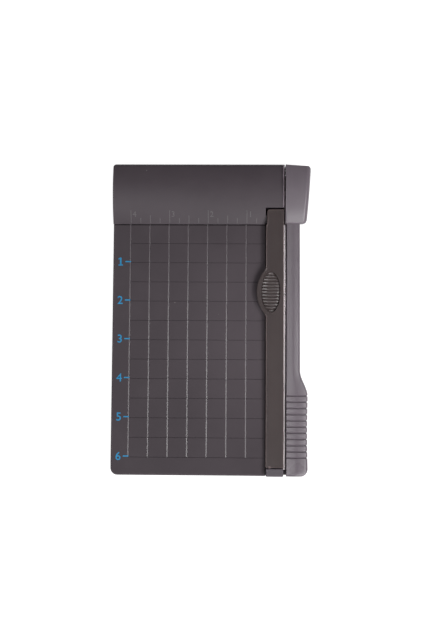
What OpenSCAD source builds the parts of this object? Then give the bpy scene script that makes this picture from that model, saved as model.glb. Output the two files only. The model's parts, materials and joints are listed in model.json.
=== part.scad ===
// Small lever paper trimmer: a ruled bed with an arched ruler head, a hinged press bar and a
// guillotine lever on a spring-loaded bolt. +X is right, +Y is back and +Z is up.
// The origin is the middle of the footprint, at desk level.

/* [Bed] */
// Width of the bed from its left edge to the cutting line
bed_w = 113.4; // [106:0.1:150]
// Length of the bed from its front edge to the paper fence
bed_len = 164; // [158:0.5:220]
// Height of the bed's surface above the desk
bed_top = 13; // [12.5:0.5:16]
// Thickness of the deck that the paper lies on
deck_t = 2.4; // [1.8:0.1:3]
// Thickness of the tray's outer walls
wall_t = 2.4; // [1.8:0.1:3]
// Thickness of the ribs under the deck
rib_t = 1.4; // [1:0.1:2]
// Widest spacing of the ribs
rib_pitch = 18.5; // [14:0.5:20]
// Radius of the tray's front left corner
bed_corner_r = 4.5; // [3:0.5:8]
// Radius of the rear left corner of the tray and the head
head_corner_r = 2.5; // [1:0.5:5]

/* [Grid] */
// Spacing of the scribed lines, half an inch
grid_pitch = 12.7; // [10:0.1:12.7]
// Distance of the first lengthways line from the cutting line
grid_start = 25.8; // [22:0.1:25.8]
// Number of lines that run front to back
grid_columns = 7; // [4:1:7]
// Number of lines that run left to right
grid_rows = 12; // [6:1:12]
// Width of a scribed line
groove_w = 0.7; // [0.4:0.1:1]

/* [Head] */
// Depth of the head from the fence to the back
head_depth = 39.5; // [37:0.5:50]
// Height of the fence, which is the head's front edge
fence_h = 1.2; // [0.8:0.1:2]
// Rise of the arch above the fence
arch_rise = 6.2; // [6:0.1:9]
// Distance of the arch's crown behind the fence
crown_back = 24; // [22:0.5:28]
// Rounding of the head's rear edge
head_edge_r = 3; // [1.5:0.5:4]
// Thickness of the head's shell
head_wall = 2.2; // [1.6:0.1:2.4]
// Depth of the notch for the rear end of the press bar
notch_depth = 10.4; // [8:0.1:12]
// Gap between the head's right end and the cutting line
head_end_gap = 1.1; // [1:0.05:1.6]

/* [Press bar] */
// Width of the press bar
bar_w = 11.5; // [9.5:0.5:14]
// Thickness of the press bar
bar_t = 3; // [2.6:0.1:4]
// Gap between the press bar and the cutting line
bar_side_gap = 1.4; // [1:0.1:2]
// Height of the pressed bar above the bed
press_gap = 0.3; // [0.2:0.1:0.6]
// Angle by which the spring lifts the bar
bar_lift = 0.9; // [0.6:0.1:1.2]
// Reach of the bulge beyond the bar's left edge
bulge_out = 6; // [3:0.2:8]
// Radius of the bulge
bulge_r = 22.5; // [20:0.5:28]
// Radius of the hollow where the bulge meets the bar
bulge_fillet_r = 4; // [2:0.5:6]
// Distance of the thumb pad's middle from the fence
pad_ahead = 45; // [40:1:80]
// Length of the oval thumb pad
pad_len = 25.8; // [20:0.2:28]
// Width of the oval thumb pad
pad_w = 12; // [8:0.5:13]
// Number of ribs across the thumb pad
pad_ribs = 13; // [7:1:13]
// Depth of the grooves between the thumb pad's ribs
pad_groove_d = 0.8; // [0.3:0.1:1.2]

/* [Front bracket] */
// Depth of the block that carries the bar's hinge pin
bracket_d = 5.3; // [5:0.1:7]
// Height of the block above the bed
bracket_rise = 4.6; // [4.4:0.1:6]
// Radius of the bar's hinge pin
pin_r = 0.8; // [0.6:0.1:1]
// Width of the bar's hinge knuckle
knuckle_w = 1.4; // [1:0.2:2]

/* [Lever] */
// Reach of the hinge housing to the right of the cutting line
housing_reach = 16.4; // [15.8:0.1:20]
// Reach of the housing's front end to the right of the cutting line
housing_front = 13.6; // [12.5:0.1:15]
// Height of the housing above the head
housing_proud = 4; // [3.2:0.1:6]
// Height of the lever's underside above the desk
lever_z = 4; // [3.6:0.1:5]
// Height of the arm and handle
lever_h = 12.5; // [11:0.1:13]
// Width of the arm
arm_w = 8.5; // [8:0.05:11]
// Width of the handle
handle_w = 13.4; // [11.5:0.1:14.5]
// Length of the handle
handle_len = 51.5; // [44:0.5:70]
// Length over which the arm widens into the handle
flare_len = 16.5; // [12:0.5:24]
// Radius of the handle's front right corner
handle_corner_r = 5; // [2:0.5:6]
// Number of grip grooves on the handle
grip_grooves = 11; // [5:1:11]
// Spacing of the grip grooves
grip_pitch = 3.98; // [3:0.02:4.2]
// Width of a grip groove
grip_w = 1; // [0.6:0.1:1.6]
// Thickness of the lever's walls
lever_wall = 2.2; // [1.8:0.1:2.6]
// Angle through which the lever opens
open_deg = 60; // [40:5:60]

/* [Blades] */
// Thickness of the fixed knife
knife_t = 1.4; // [0.8:0.1:1.4]
// Height of the fixed knife
knife_h = 9; // [8:0.5:10]
// Thickness of the moving blade
blade_t = 0.85; // [0.8:0.05:1.2]
// Depth of the moving blade's back below the bed when closed
spine_drop = 3; // [2:0.2:4]
// Distance of each blade's face from the cutting line
shear_gap = 0.05; // [0.03:0.01:0.1]
// Number of screws along each blade
blade_screws = 3; // [2:1:4]

/* [Pivot] */
// Radius of the pivot bolt's shank
bolt_r = 2.5; // [2:0.1:2.6]
// Width across the flats of the bolt's head and nut
hex_across = 8; // [7:0.5:8]
// Outer radius of the bush
bush_r = 3.5; // [3.2:0.1:3.8]
// Running clearance of the bolt and the pins
run_gap = 0.05; // [0.02:0.01:0.08]
// Outer radius of the spring round the bolt
coil_r = 4.4; // [4:0.1:4.6]
// Length of the spring round the bolt
coil_len = 8; // [7:0.5:10]
// Radius of the stop pin
stop_r = 1.5; // [1:0.1:1.6]

/* [Feet] */
// Radius of a foot
foot_r = 6; // [4:0.5:6]
// Height that the feet hold the tray above the desk
foot_proud = 1.5; // [1:0.1:2]

/* [Hidden] */
$fn = 48;

// Cuts run past the surfaces that they open by this much
eps = 1;
// Fixed parts that slip together have this play
slip = 0.1;
// Moving faces that must never touch have this room
room = 0.3;
// Pins and threads that are held tight have this play
tight = 0.02;
// Screw holes run this far past the screw's tip
spare = 0.4;

// Main planes: the cutting line, the fence and the ends of the footprint
x_cut = (bed_w - housing_reach) / 2;
x_left = x_cut - bed_w;
y_fence = (bed_len - head_depth) / 2;
y_front = y_fence - bed_len;
y_back = y_fence + head_depth;
x_flank = x_cut - shear_gap - knife_t;
x_lever = x_cut + shear_gap + blade_t;
x_head = x_cut - head_end_gap;
z_deck = bed_top - deck_t;

// Lever pivot: its hub turns clear of the desk and ends level with the back
pivot_drop = 0.5;
hub_clear = 0.5;
z_pivot = bed_top - pivot_drop;
hub_r = z_pivot - hub_clear;
y_pivot = y_back - hub_r;
v_pivot = y_pivot - y_fence;

// Arch of the head, in distances behind the fence and heights above the bed
arch_r = (crown_back * crown_back + arch_rise * arch_rise) / (2 * arch_rise);
arch_mid = fence_h + arch_rise - arch_r;
head_x = head_depth - head_edge_r;
head_z = arch_mid + sqrt(pow(arch_r - head_edge_r, 2) - pow(head_x - crown_back, 2));

// Tray ribs
tray_w = x_flank - x_left - 2 * wall_t;
tray_len = bed_len + head_depth - 2 * wall_t;
rib_bays_x = ceil(tray_w / rib_pitch);
rib_bays_y = ceil(tray_len / rib_pitch);
rib_lift = 1;

// Pivot carrier: a thick stretch of the right wall with an upright lug
post_t = 5;
post_ahead = 8;
ceiling_gap = 0.5;
ceiling = arch_mid + sqrt(pow(arch_r - head_wall, 2) - pow(v_pivot - crown_back, 2));
lug_r = ceiling + pivot_drop - ceiling_gap;
pocket_spare = 10;
pocket_len = coil_len + pocket_spare;
pocket_half = 7;

// Bolt stack, from right to left
bolt_head_h = 3.2;
bolt_seat_in = 8.5;
x_seat = x_lever + bolt_seat_in;
x_cap = x_seat + bolt_head_h + spare;
cap_r = 6;
cap_set_back = 0.4;
flange_t = 1.2;
flange_r = lug_r - slip;
x_flange = x_flank - post_t - flange_t;
x_coil = x_flange - slip;
coil_wire_r = 0.5;
coil_turns = 4.5;
washer_t = 1;
washer_r = 4.7;
x_washer = x_coil - coil_len - slip;
nut_h = 4;
x_nut = x_washer - washer_t;
bolt_tip = 1.2;
hex_r = hex_across / 2 / cos(30);

// Stop pin and its slot in the lever's hub, as angles above straight back
stop_at_r = 8;
stop_deg = -20;
stop_half_deg = asin((stop_r + room) / stop_at_r);
stop_spare_deg = 2;
stop_reach = 3;
stop_seat = 4;

// Fixed knife
knife_short = 4.2;
knife_dip = 3;
knife_tail_r = stop_at_r - stop_r - room;
knife_screw_drop = 5;
screw_r = 1.25;
screw_head_r = 2.1;
screw_len = 6;
boss_half = 3;
screw_margin = 18;
blade_screw_shift = 4;
recess_w = 0.5;
recess_len = 2.4;
recess_d = 0.5;

// Moving blade
blade_eye_r = 4.7;
blade_neck = 4.2;
blade_tip_cut = 2;
blade_short = 5;
edge_lift = 0.5;
edge_rise = 2;
bevel_h = 1.4;
edge_t = 0.15;
blade_screw_z = (bed_top - spine_drop + lever_z + edge_lift + edge_rise) / 2;

// Press bar and its hinge
x_bar_right = x_cut - bar_side_gap;
x_bar_left = x_bar_right - bar_w;
bar_end_gap = 1.3;
y_bar_back = y_fence + notch_depth - bar_end_gap;
bracket_gap = 0.6;
y_bar_front = y_front + bracket_d + bracket_gap;
y_pad = y_fence - pad_ahead;
pad_shift = 0.4;
x_pad = x_bar_right - (bar_w + bulge_out) / 2 + pad_shift;
z_bar = bed_top + press_gap;
z_pin = z_bar + bar_t / 2;
pin_back = 0.3;
y_pin = y_front + bracket_d / 2 + pin_back;
knuckle_r = bar_t / 2;
x_bar_mid = (x_bar_left + x_bar_right) / 2;
knuckle_in = 2.6;
x_knuckle = x_bar_left + knuckle_in;
pin_wall = 0.6;
tongue_in = 0.8;
tongue_ahead = 0.4;
notch_side = 0.35;
bulge_x = x_bar_left - bulge_out + bulge_r;
fillet_x = x_bar_left - bulge_fillet_r;
fillet_dy = sqrt(pow(bulge_r + bulge_fillet_r, 2) - pow(bulge_x - fillet_x, 2));
fillet_deg = atan2(fillet_dy, bulge_x - fillet_x);
bar_corner_r = 1.6;
pad_rib_pitch = pad_len / pad_ribs;
pad_groove_w = pad_rib_pitch / 2;

// Bar spring, in a well under the bar's rear end
lift_r = 2.2;
lift_wire_r = 0.25;
lift_turns = 6;
lift_ahead = 5.5;
y_lift = y_fence + notch_depth - lift_ahead;
x_lift = x_bar_mid;
well_depth = 5.2;
well_wall = 1.4;
z_well = bed_top - well_depth;
z_lift_top = z_pin + (y_lift - y_pin) * sin(bar_lift) + (z_bar - z_pin) * cos(bar_lift);

// Bracket seat in the tray's front right corner
seat_t = 3;
z_seat = foot_proud + seat_t;
small_screw_r = 1;
small_head_r = 1.9;
small_head_h = 1.3;
small_screw_len = 7;

// Stop ledge under the handle and its rubber pad
ledge_len = 13;
ledge_w = 9;
ledge_t = 1.7;
bumper_gap = 0.1;
bumper_in = 2;

// Lever outline
x_arm = x_lever + arm_w;
x_handle = x_lever + handle_w;
y_handle = y_front + handle_len;
flare_w = x_handle - x_arm;
flare_r = (flare_len * flare_len + flare_w * flare_w) / (4 * flare_w);
flare_cut = flare_r * flare_w / flare_len;
lever_top = lever_z + lever_h;
grip_first = 12;
grip_depth = grip_w / 2;
solid_end = 16;
housing_corner_r = 2.5;
housing_rear_r = 3;
housing_rear_in = 1.4;
housing_rear_slant = 1;
housing_straight = 6;
undercut = 2.4;
undercut_up = 1.2;
lip_gap = 0.6;
lip_up = 1.8;
x_lip = x_head + lip_gap;
lip_r = stop_at_r + stop_r + 2 * room;
flare_ease = 0.98;

// Head fasteners, each held up through the deck
head_screw_r = 1.25;
head_screw_head_r = 2.5;
head_screw_head_h = 1.6;
head_screw_up = 3.4;
head_boss_r = 2.8;
screw_front = 12;
screw_back = 9;
screw_left = 28;
screw_mid = 52;
screw_right = 30;
head_screw_spots = [
  [x_left + screw_left, y_fence + screw_front],
  [x_left + screw_left, y_back - screw_back],
  [x_cut - screw_mid, y_back - screw_back],
  [x_cut - screw_right, y_fence + screw_front]
];

// Feet
foot_in = 12;
foot_chamfer = 0.4;
foot_gap = 0.5;
foot_sunk = 0.8;
foot_wall = 1.5;
foot_spots = [
  [x_left + foot_in, y_front + foot_in],
  [x_flank - foot_in, y_front + foot_in + bracket_d],
  [x_left + foot_in, y_back - foot_in],
  [x_flank - post_t - pocket_len - foot_r - foot_wall - foot_gap, y_back - foot_in]
];

// Even places along a blade between two ends
function spread(a, b, count) = [for (i = [0 : count - 1]) a + (b - a) * i / (count - 1)];
knife_screw_spots = spread(y_front + screw_margin, y_fence - screw_margin, blade_screws);
blade_screw_spots = spread(y_front + screw_margin + blade_screw_shift, y_fence - screw_margin, blade_screws);

// Points along an arc
function arc(mid, r, from, to, steps) = [
  for (i = [0 : steps])
    let (a = from + (to - from) * i / steps)
    mid + r * [cos(a), sin(a)]
];
function unit(p) = p / norm(p);
function angle(p) = atan2(p[1], p[0]);
function turn(from, to) = (to - from + 540) % 360 - 180;

// Corner b between a and c, rounded to radius r
function corner(a, b, c, r, steps) =
  let (
    u = unit(a - b),
    w = unit(c - b),
    half = acos(u * w) / 2,
    mid = b + unit(u + w) * r / sin(half),
    start = angle(b + u * r / tan(half) - mid),
    end = angle(b + w * r / tan(half) - mid)
  )
  arc(mid, r, start, start + turn(start, end), steps);

// Outline with each corner rounded to its own radius, zero for a sharp one
function rounded(points, radii, steps = 8) =
  let (n = len(points))
  [
    for (i = [0 : n - 1])
      each radii[i] == 0 ? [points[i]]
        : corner(points[(i + n - 1) % n], points[i], points[(i + 1) % n], radii[i], steps)
  ];

// Extrudes a shape drawn in Y and Z along X
module along_x(x, t) {
  translate([x, 0, 0]) rotate([90, 0, 90]) linear_extrude(t) children();
}

// Extrudes a shape drawn in X and Z forward along Y, starting at y
module along_y(y, t) {
  translate([0, y, 0]) rotate([90, 0, 0]) linear_extrude(t) children();
}

// Round bar along X
module rod(x, y, z, r, t) {
  translate([x, y, z]) rotate([0, 90, 0]) cylinder(r = r, h = t);
}

// Hexagonal bar along X with a flat on top
module hex_rod(x, y, z, r, t) {
  translate([x, y, z]) rotate([0, 90, 0]) rotate([0, 0, 30]) cylinder(r = r, h = t, $fn = 6);
}

// Box between two corners
module box(from, to) {
  translate(from) cube(to - from);
}

// Rings of a round wire wound into a coil along Z
coil_sides = 6;
coil_rings = 8;
function coil_points(r, wire_r, length, turns) = [
  for (i = [0 : turns * coil_rings])
    let (
      a = 360 * i / coil_rings,
      z = wire_r + (length - 2 * wire_r) * i / (turns * coil_rings)
    )
    for (k = [0 : coil_sides - 1])
      let (
        b = 360 * k / coil_sides,
        out = r + wire_r * cos(b)
      )
      [out * cos(a), out * sin(a), z + wire_r * sin(b)]
];

// Least distance between surface points that lie most of a turn apart
function least_gap(p) = min([
  for (i = [0 : coil_sides * coil_rings - 1])
    for (k = [0 : len(p) - 1])
      if (abs(floor(i / coil_sides) - floor(k / coil_sides)) > coil_rings - 3)
        norm(p[i] - p[k])
]);

// One unbroken coil of round wire along Z, standing on its lower end
module coil(r, wire_r, length, turns) {
  points = coil_points(r, wire_r, length, turns);
  rings = turns * coil_rings;
  last = len(points) - 1;
  sides = [
    for (i = [0 : rings - 1])
      for (k = [0 : coil_sides - 1])
        let (
          a = i * coil_sides + k,
          b = i * coil_sides + (k + 1) % coil_sides
        )
        each [[a, a + coil_sides, b], [b, a + coil_sides, b + coil_sides]]
  ];
  ends = [for (k = [1 : coil_sides - 2]) each [[0, k, k + 1], [last, last - k, last - k - 1]]];
  echo(least_coil_gap = least_gap(points));
  polyhedron(points, concat(sides, ends));
}

// Countersunk screw along X with its head's face at x, pointing left or right
module flat_screw(x, y, z, head_h, way) {
  translate([x, y, z]) rotate([0, way * 90, 0]) difference() {
    union() {
      cylinder(r1 = screw_head_r, r2 = screw_r, h = head_h);
      cylinder(r = screw_r, h = screw_len);
    }
    for (a = [0, 90]) rotate([0, 0, a]) cube([recess_len, recess_w, 2 * recess_d], center = true);
  }
}

// Hole that a countersunk screw fills, with play
module flat_screw_hole(x, y, z, head_h, way) {
  translate([x, y, z]) rotate([0, way * 90, 0]) {
    cylinder(r1 = screw_head_r + slip, r2 = screw_r + slip, h = head_h);
    translate([0, 0, -eps]) cylinder(r = screw_r + slip, h = screw_len + spare + eps);
  }
}

// Round-headed screw that points up, with its head's underside at z
module pan_screw(x, y, z, r, head_r, head_h, length) {
  translate([x, y, z]) difference() {
    union() {
      translate([0, 0, -head_h]) cylinder(r = head_r, h = head_h);
      cylinder(r = r, h = length);
    }
    for (a = [0, 90]) rotate([0, 0, a]) translate([0, 0, -head_h])
      cube([recess_len, recess_w, 2 * recess_d], center = true);
  }
}

// Plan of the tray, drawn in by an inset
module tray_plan(inset) {
  polygon(rounded(
    [
      [x_left + inset, y_front + inset],
      [x_flank - inset, y_front + inset],
      [x_flank - inset, y_back - inset],
      [x_left + inset, y_back - inset]
    ],
    [max(bed_corner_r - inset, 0.5), 0, 0, max(head_corner_r - inset, 0.5)]
  ));
}

// Scribed half-inch grid
module grid_lines() {
  side = groove_w / sqrt(2);
  for (i = [0 : grid_columns - 1])
    translate([x_cut - grid_start - i * grid_pitch, y_fence - grid_rows * grid_pitch / 2, bed_top])
      rotate([0, 45, 0])
        cube([side, grid_rows * grid_pitch, side], center = true);
  x_end = x_cut - grid_start - (grid_columns - 1) * grid_pitch;
  for (i = [1 : grid_rows])
    translate([(x_end + x_bar_left) / 2, y_fence - i * grid_pitch, bed_top])
      rotate([45, 0, 0])
        cube([x_bar_left - x_end, side, side], center = true);
}

// Lattice of ribs under the deck
module tray_ribs() {
  for (i = [1 : rib_bays_x - 1])
    translate([x_left + wall_t + tray_w * i / rib_bays_x - rib_t / 2, y_front + wall_t / 2, foot_proud + rib_lift])
      cube([rib_t, tray_len + wall_t, z_deck + deck_t / 2 - foot_proud - rib_lift]);
  for (i = [1 : rib_bays_y - 1])
    translate([x_left + wall_t / 2, y_front + wall_t + tray_len * i / rib_bays_y - rib_t / 2, foot_proud + rib_lift])
      cube([tray_w + wall_t, rib_t, z_deck + deck_t / 2 - foot_proud - rib_lift]);
}

// Thick wall and upright lug that carry the bush and the stop pin, with a rib below the lever's lip
module pivot_post() {
  box([x_flank - post_t, y_pivot - post_ahead, foot_proud], [x_flank, y_back - wall_t / 2, bed_top - deck_t / 2]);
  box([x_flank - post_t, y_pivot - lug_r, z_pivot - lug_r], [x_flank, y_pivot + lug_r, z_pivot]);
  rod(x_flank - post_t, y_pivot, z_pivot, lug_r, post_t);
  box(
    [x_flank - post_t, y_pivot + knife_tail_r + room, foot_proud],
    [x_lip - slip, y_back, bed_top]
  );
}

// Solid stretches under the deck: knife bosses, foot pads, spring well and bracket seat
module tray_bosses() {
  for (y = knife_screw_spots)
    box(
      [x_flank - screw_len - boss_half, y - boss_half, bed_top - knife_screw_drop - boss_half],
      [x_flank - wall_t / 2, y + boss_half, z_deck + deck_t / 2]
    );
  for (p = foot_spots)
    translate([p[0], p[1], foot_proud])
      cylinder(r = foot_r + foot_wall, h = z_deck + deck_t / 2 - foot_proud);
  translate([x_lift, y_lift, z_well - well_wall])
    cylinder(r = lift_r + lift_wire_r + room + well_wall, h = well_depth + well_wall - deck_t / 2);
  box(
    [x_bar_left - wall_t, y_front + wall_t / 2, foot_proud],
    [x_flank - wall_t / 2, y_front + bracket_d + wall_t, z_deck + deck_t / 2]
  );
}

// Ledge that reaches under the closed handle
module stop_ledge() {
  box(
    [x_flank - wall_t / 2, y_front, foot_proud],
    [x_cut + ledge_w, y_front + ledge_len, foot_proud + ledge_t]
  );
}

// Bed of the trimmer: deck, walls and ribs in one moulding
module base_tray() {
  color("#524c4f") difference() {
    union() {
      difference() {
        translate([0, 0, foot_proud]) linear_extrude(bed_top - foot_proud) tray_plan(0);
        translate([0, 0, foot_proud - eps]) linear_extrude(z_deck - foot_proud + eps) tray_plan(wall_t);
        grid_lines();
      }
      tray_ribs();
      pivot_post();
      tray_bosses();
      stop_ledge();
    }
    // Pocket for the bolt's spring and nut
    box(
      [x_flank - post_t - pocket_len, y_pivot - pocket_half, -eps],
      [x_flank - post_t, y_pivot + pocket_half, bed_top + eps]
    );
    rod(x_flank - post_t - eps, y_pivot, z_pivot, bush_r + run_gap, post_t + 2 * eps);
    rod(
      x_flank - stop_seat, y_pivot + stop_at_r * cos(stop_deg), z_pivot + stop_at_r * sin(stop_deg),
      stop_r + run_gap, stop_seat + x_lip - x_flank
    );
    // Corner that the bracket fills
    box(
      [x_bar_left - slip, y_front - eps, z_seat],
      [x_flank + eps, y_front + bracket_d + slip, bed_top + eps]
    );
    translate([x_bar_mid, y_front + bracket_d / 2, 0]) {
      cylinder(r = small_head_r + slip, h = foot_proud + small_head_h);
      cylinder(r = small_screw_r + slip, h = z_seat + eps);
    }
    translate([x_lift, y_lift, z_well]) cylinder(r = lift_r + lift_wire_r + room, h = well_depth + eps);
    for (y = knife_screw_spots)
      flat_screw_hole(x_flank + knife_t, y, bed_top - knife_screw_drop, knife_t, -1);
    for (p = head_screw_spots) {
      translate([p[0], p[1], 0]) cylinder(r = head_screw_head_r + room, h = z_deck);
      translate([p[0], p[1], 0]) cylinder(r = head_screw_r + slip, h = bed_top + eps);
    }
    for (p = foot_spots)
      translate([p[0], p[1], foot_proud - eps]) cylinder(r = foot_r + slip, h = foot_sunk + eps);
  }
}

// Side outline of the arch, from the fence to the back and down to a floor height
function arch_outline(rise, floor_z) = concat(
  [[y_fence, floor_z]],
  [
    for (p = arc([crown_back, arch_mid], arch_r, angle([-crown_back, fence_h - arch_mid]),
                 angle([head_x - crown_back, head_z - arch_mid]), 20))
      [y_fence + p[0], bed_top + rise + p[1]]
  ],
  [
    for (p = arc([head_x, head_z], head_edge_r, angle([head_x - crown_back, head_z - arch_mid]), 0, 6))
      [y_fence + p[0], bed_top + rise + p[1]]
  ],
  [[y_back, floor_z]]
);

// Hollow under the arch
module head_hollow() {
  inner_r = arch_r - head_wall;
  near = crown_back - sqrt(inner_r * inner_r - arch_mid * arch_mid);
  far = head_depth - head_wall;
  points = arc([crown_back, arch_mid], inner_r, angle([near - crown_back, -arch_mid]),
               90 - asin((far - crown_back) / inner_r), 16);
  along_x(x_left + head_wall, x_head - x_left - 2 * head_wall)
    polygon(concat(
      [[y_fence + near, bed_top - eps]],
      [for (p = points) [y_fence + p[0], bed_top + p[1]]],
      [[y_fence + far, bed_top - eps]]
    ));
}

// Plan of the head
module head_plan() {
  polygon(rounded(
    [[x_left, y_fence], [x_head, y_fence], [x_head, y_back], [x_left, y_back]],
    [0, 0, 0, head_corner_r]
  ));
}

// Arched ruler head across the back
module head_cover() {
  notch_x = x_bar_left - notch_side;
  tall = 2 * bed_top + arch_rise;
  color("#545052") difference() {
    intersection() {
      along_x(x_left, x_head - x_left) polygon(arch_outline(0, bed_top));
      linear_extrude(tall) head_plan();
    }
    difference() {
      head_hollow();
      box([notch_x - head_wall, y_fence - eps, 0], [x_cut, y_fence + notch_depth + head_wall, tall]);
      for (p = head_screw_spots)
        translate([p[0], p[1], 0]) cylinder(r = head_boss_r, h = tall);
    }
    // Notch for the rear end of the press bar
    box([notch_x, y_fence - eps, 0], [x_cut, y_fence + notch_depth, tall]);
    // Way through the right end for the tray's lug
    box(
      [x_head - 2 * head_wall, y_pivot - lug_r - room, bed_top - eps],
      [x_head + eps, y_pivot + lug_r + room, z_pivot]
    );
    rod(x_head - 2 * head_wall, y_pivot, z_pivot, lug_r + room, 2 * head_wall + eps);
    for (p = head_screw_spots)
      translate([p[0], p[1], bed_top - eps]) cylinder(r = head_screw_r + slip, h = head_screw_up + spare + eps);
  }
}

// Screws that hold the head to the deck from below
module head_screws() {
  color("#b9bbbd")
    for (p = head_screw_spots)
      pan_screw(p[0], p[1], z_deck, head_screw_r, head_screw_head_r, head_screw_head_h, deck_t + head_screw_up);
}

// Fixed knife on the tray's flank, low behind the fence and with an eye round the bush
module bed_knife() {
  color("#c9c6c6") difference() {
    along_x(x_flank, knife_t) {
      polygon([
        [y_front + knife_short, bed_top - knife_h],
        [y_pivot, bed_top - knife_h],
        [y_pivot, bed_top - knife_dip],
        [y_fence + slip, bed_top - knife_dip],
        [y_fence + slip, bed_top],
        [y_front + knife_short, bed_top]
      ]);
      intersection() {
        translate([y_pivot, z_pivot]) circle(r = knife_tail_r);
        translate([y_pivot - eps, bed_top - knife_h]) square([2 * knife_tail_r, knife_h - knife_dip]);
      }
      translate([y_pivot, z_pivot]) circle(r = lug_r);
    }
    rod(x_flank - eps, y_pivot, z_pivot, bush_r + run_gap, knife_t + 2 * eps);
    for (y = knife_screw_spots)
      flat_screw_hole(x_flank + knife_t, y, bed_top - knife_screw_drop, knife_t, -1);
  }
}

// Countersunk screws of the fixed knife
module bed_knife_screws() {
  color("#b9bbbd")
    for (y = knife_screw_spots)
      flat_screw(x_flank + knife_t, y, bed_top - knife_screw_drop, knife_t, -1);
}

// Block in the front right corner that carries the bar's hinge pin
module bar_bracket() {
  right = x_flank - slip;
  color("#5d585c") difference() {
    box([x_bar_left, y_front, z_seat], [right, y_front + bracket_d, bed_top + bracket_rise]);
    // Slot that the bar's knuckle turns in, open at the back
    box(
      [x_knuckle - knuckle_w / 2 - room, y_pin - knuckle_r - room, z_pin - knuckle_r - room],
      [x_knuckle + knuckle_w / 2 + room, y_front + bracket_d + eps, z_pin + knuckle_r + room]
    );
    rod(x_bar_left + pin_wall, y_pin, z_pin, pin_r + tight, right);
    translate([x_bar_mid, y_front + bracket_d / 2, z_seat - eps])
      cylinder(r = small_screw_r + slip, h = small_screw_len + eps);
  }
}

// Screw that holds the bracket from below
module bracket_screw() {
  color("#b9bbbd")
    pan_screw(
      x_bar_mid, y_front + bracket_d / 2, foot_proud + small_head_h,
      small_screw_r, small_head_r, small_head_h, small_screw_len - spare
    );
}

// Hinge pin of the press bar
module bar_pin() {
  start = x_bar_left + pin_wall + slip;
  color("#c9c6c6") rod(start, y_pin, z_pin, pin_r, x_flank - 2 * slip - start);
}

// Spring that lifts the bar's rear end
module bar_spring() {
  color("#b9bbbd")
    translate([x_lift, y_lift, z_well + slip])
      coil(lift_r, lift_wire_r, z_lift_top - z_well - 2 * slip, lift_turns);
}

// Plain bush in the lug for the lever's bolt
module pivot_bush() {
  color("#c59a4a") difference() {
    union() {
      rod(x_flange + flange_t, y_pivot, z_pivot, bush_r, post_t + knife_t);
      rod(x_flange, y_pivot, z_pivot, flange_r, flange_t);
    }
    rod(x_flange - eps, y_pivot, z_pivot, bolt_r + run_gap, flange_t + post_t + knife_t + 2 * eps);
  }
}

// Pin that ends the lever's opening
module arm_stop_pin() {
  color("#b9bbbd")
    rod(
      x_flank - stop_seat + slip, y_pivot + stop_at_r * cos(stop_deg), z_pivot + stop_at_r * sin(stop_deg),
      stop_r, stop_seat - slip + knife_t + 2 * shear_gap + blade_t + stop_reach
    );
}

// Rubber pad on the ledge, under the closed handle
module stop_bumper() {
  color("#2b2b2c")
    box(
      [x_lever + bumper_in, y_front + bumper_in, foot_proud + ledge_t],
      [x_cut + ledge_w - bumper_in / 2, y_front + ledge_len - bumper_in, lever_z - bumper_gap]
    );
}

// Rubber foot, numbered as in the list of places
module foot(i) {
  color("#2b2b2c")
    translate([foot_spots[i][0], foot_spots[i][1], 0]) {
      cylinder(r1 = foot_r - foot_chamfer, r2 = foot_r, h = foot_chamfer);
      translate([0, 0, foot_chamfer]) cylinder(r = foot_r, h = foot_proud + foot_sunk - foot_chamfer);
    }
}

module foot_front_left() {
  foot(0);
}

module foot_front_right() {
  foot(1);
}

module foot_rear_left() {
  foot(2);
}

module foot_rear_right() {
  foot(3);
}

// Plan of the press bar with its bulge and the narrower tongue in the head's notch
module bar_plan() {
  near = y_pad - fillet_dy;
  far = y_pad + fillet_dy;
  x_tongue = x_bar_left + tongue_in;
  polygon(concat(
    [[x_bar_right, y_bar_front], [x_bar_right, y_bar_back]],
    arc([x_tongue + bar_corner_r, y_bar_back - bar_corner_r], bar_corner_r, 90, 180, 6),
    [[x_tongue, y_fence - tongue_ahead], [x_bar_left, y_fence - tongue_ahead - tongue_in]],
    arc([fillet_x, far], bulge_fillet_r, 0, -fillet_deg, 6),
    arc([bulge_x, y_pad], bulge_r, 180 - fillet_deg, 180 + fillet_deg, 20),
    arc([fillet_x, near], bulge_fillet_r, fillet_deg, 0, 6),
    [[x_bar_left, y_bar_front + bar_corner_r], [x_bar_left + bar_corner_r, y_bar_front]]
  ));
}

// Grooves between the ribs of the oval thumb pad
module pad_grooves() {
  for (i = [0 : pad_ribs - 2]) {
    d = (i - (pad_ribs - 2) / 2) * pad_rib_pitch;
    half = pad_w / 2 * sqrt(1 - pow(2 * d / pad_len, 2));
    box(
      [x_pad - half, y_pad + d - pad_groove_w / 2, z_bar + bar_t - pad_groove_d],
      [x_pad + half, y_pad + d + pad_groove_w / 2, z_bar + bar_t + eps]
    );
  }
}

// Press bar, lifted off the bed about its front pin
module press_bar() {
  color("#4a4443") translate([0, y_pin, z_pin]) rotate([bar_lift, 0, 0]) translate([0, -y_pin, -z_pin])
    difference() {
      union() {
        translate([0, 0, z_bar]) linear_extrude(bar_t) bar_plan();
        box(
          [x_knuckle - knuckle_w / 2, y_pin, z_bar],
          [x_knuckle + knuckle_w / 2, y_bar_front + eps, z_bar + bar_t]
        );
        rod(x_knuckle - knuckle_w / 2, y_pin, z_pin, knuckle_r, knuckle_w);
      }
      rod(x_knuckle - knuckle_w, y_pin, z_pin, pin_r + run_gap, 2 * knuckle_w);
      pad_grooves();
    }
}

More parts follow.
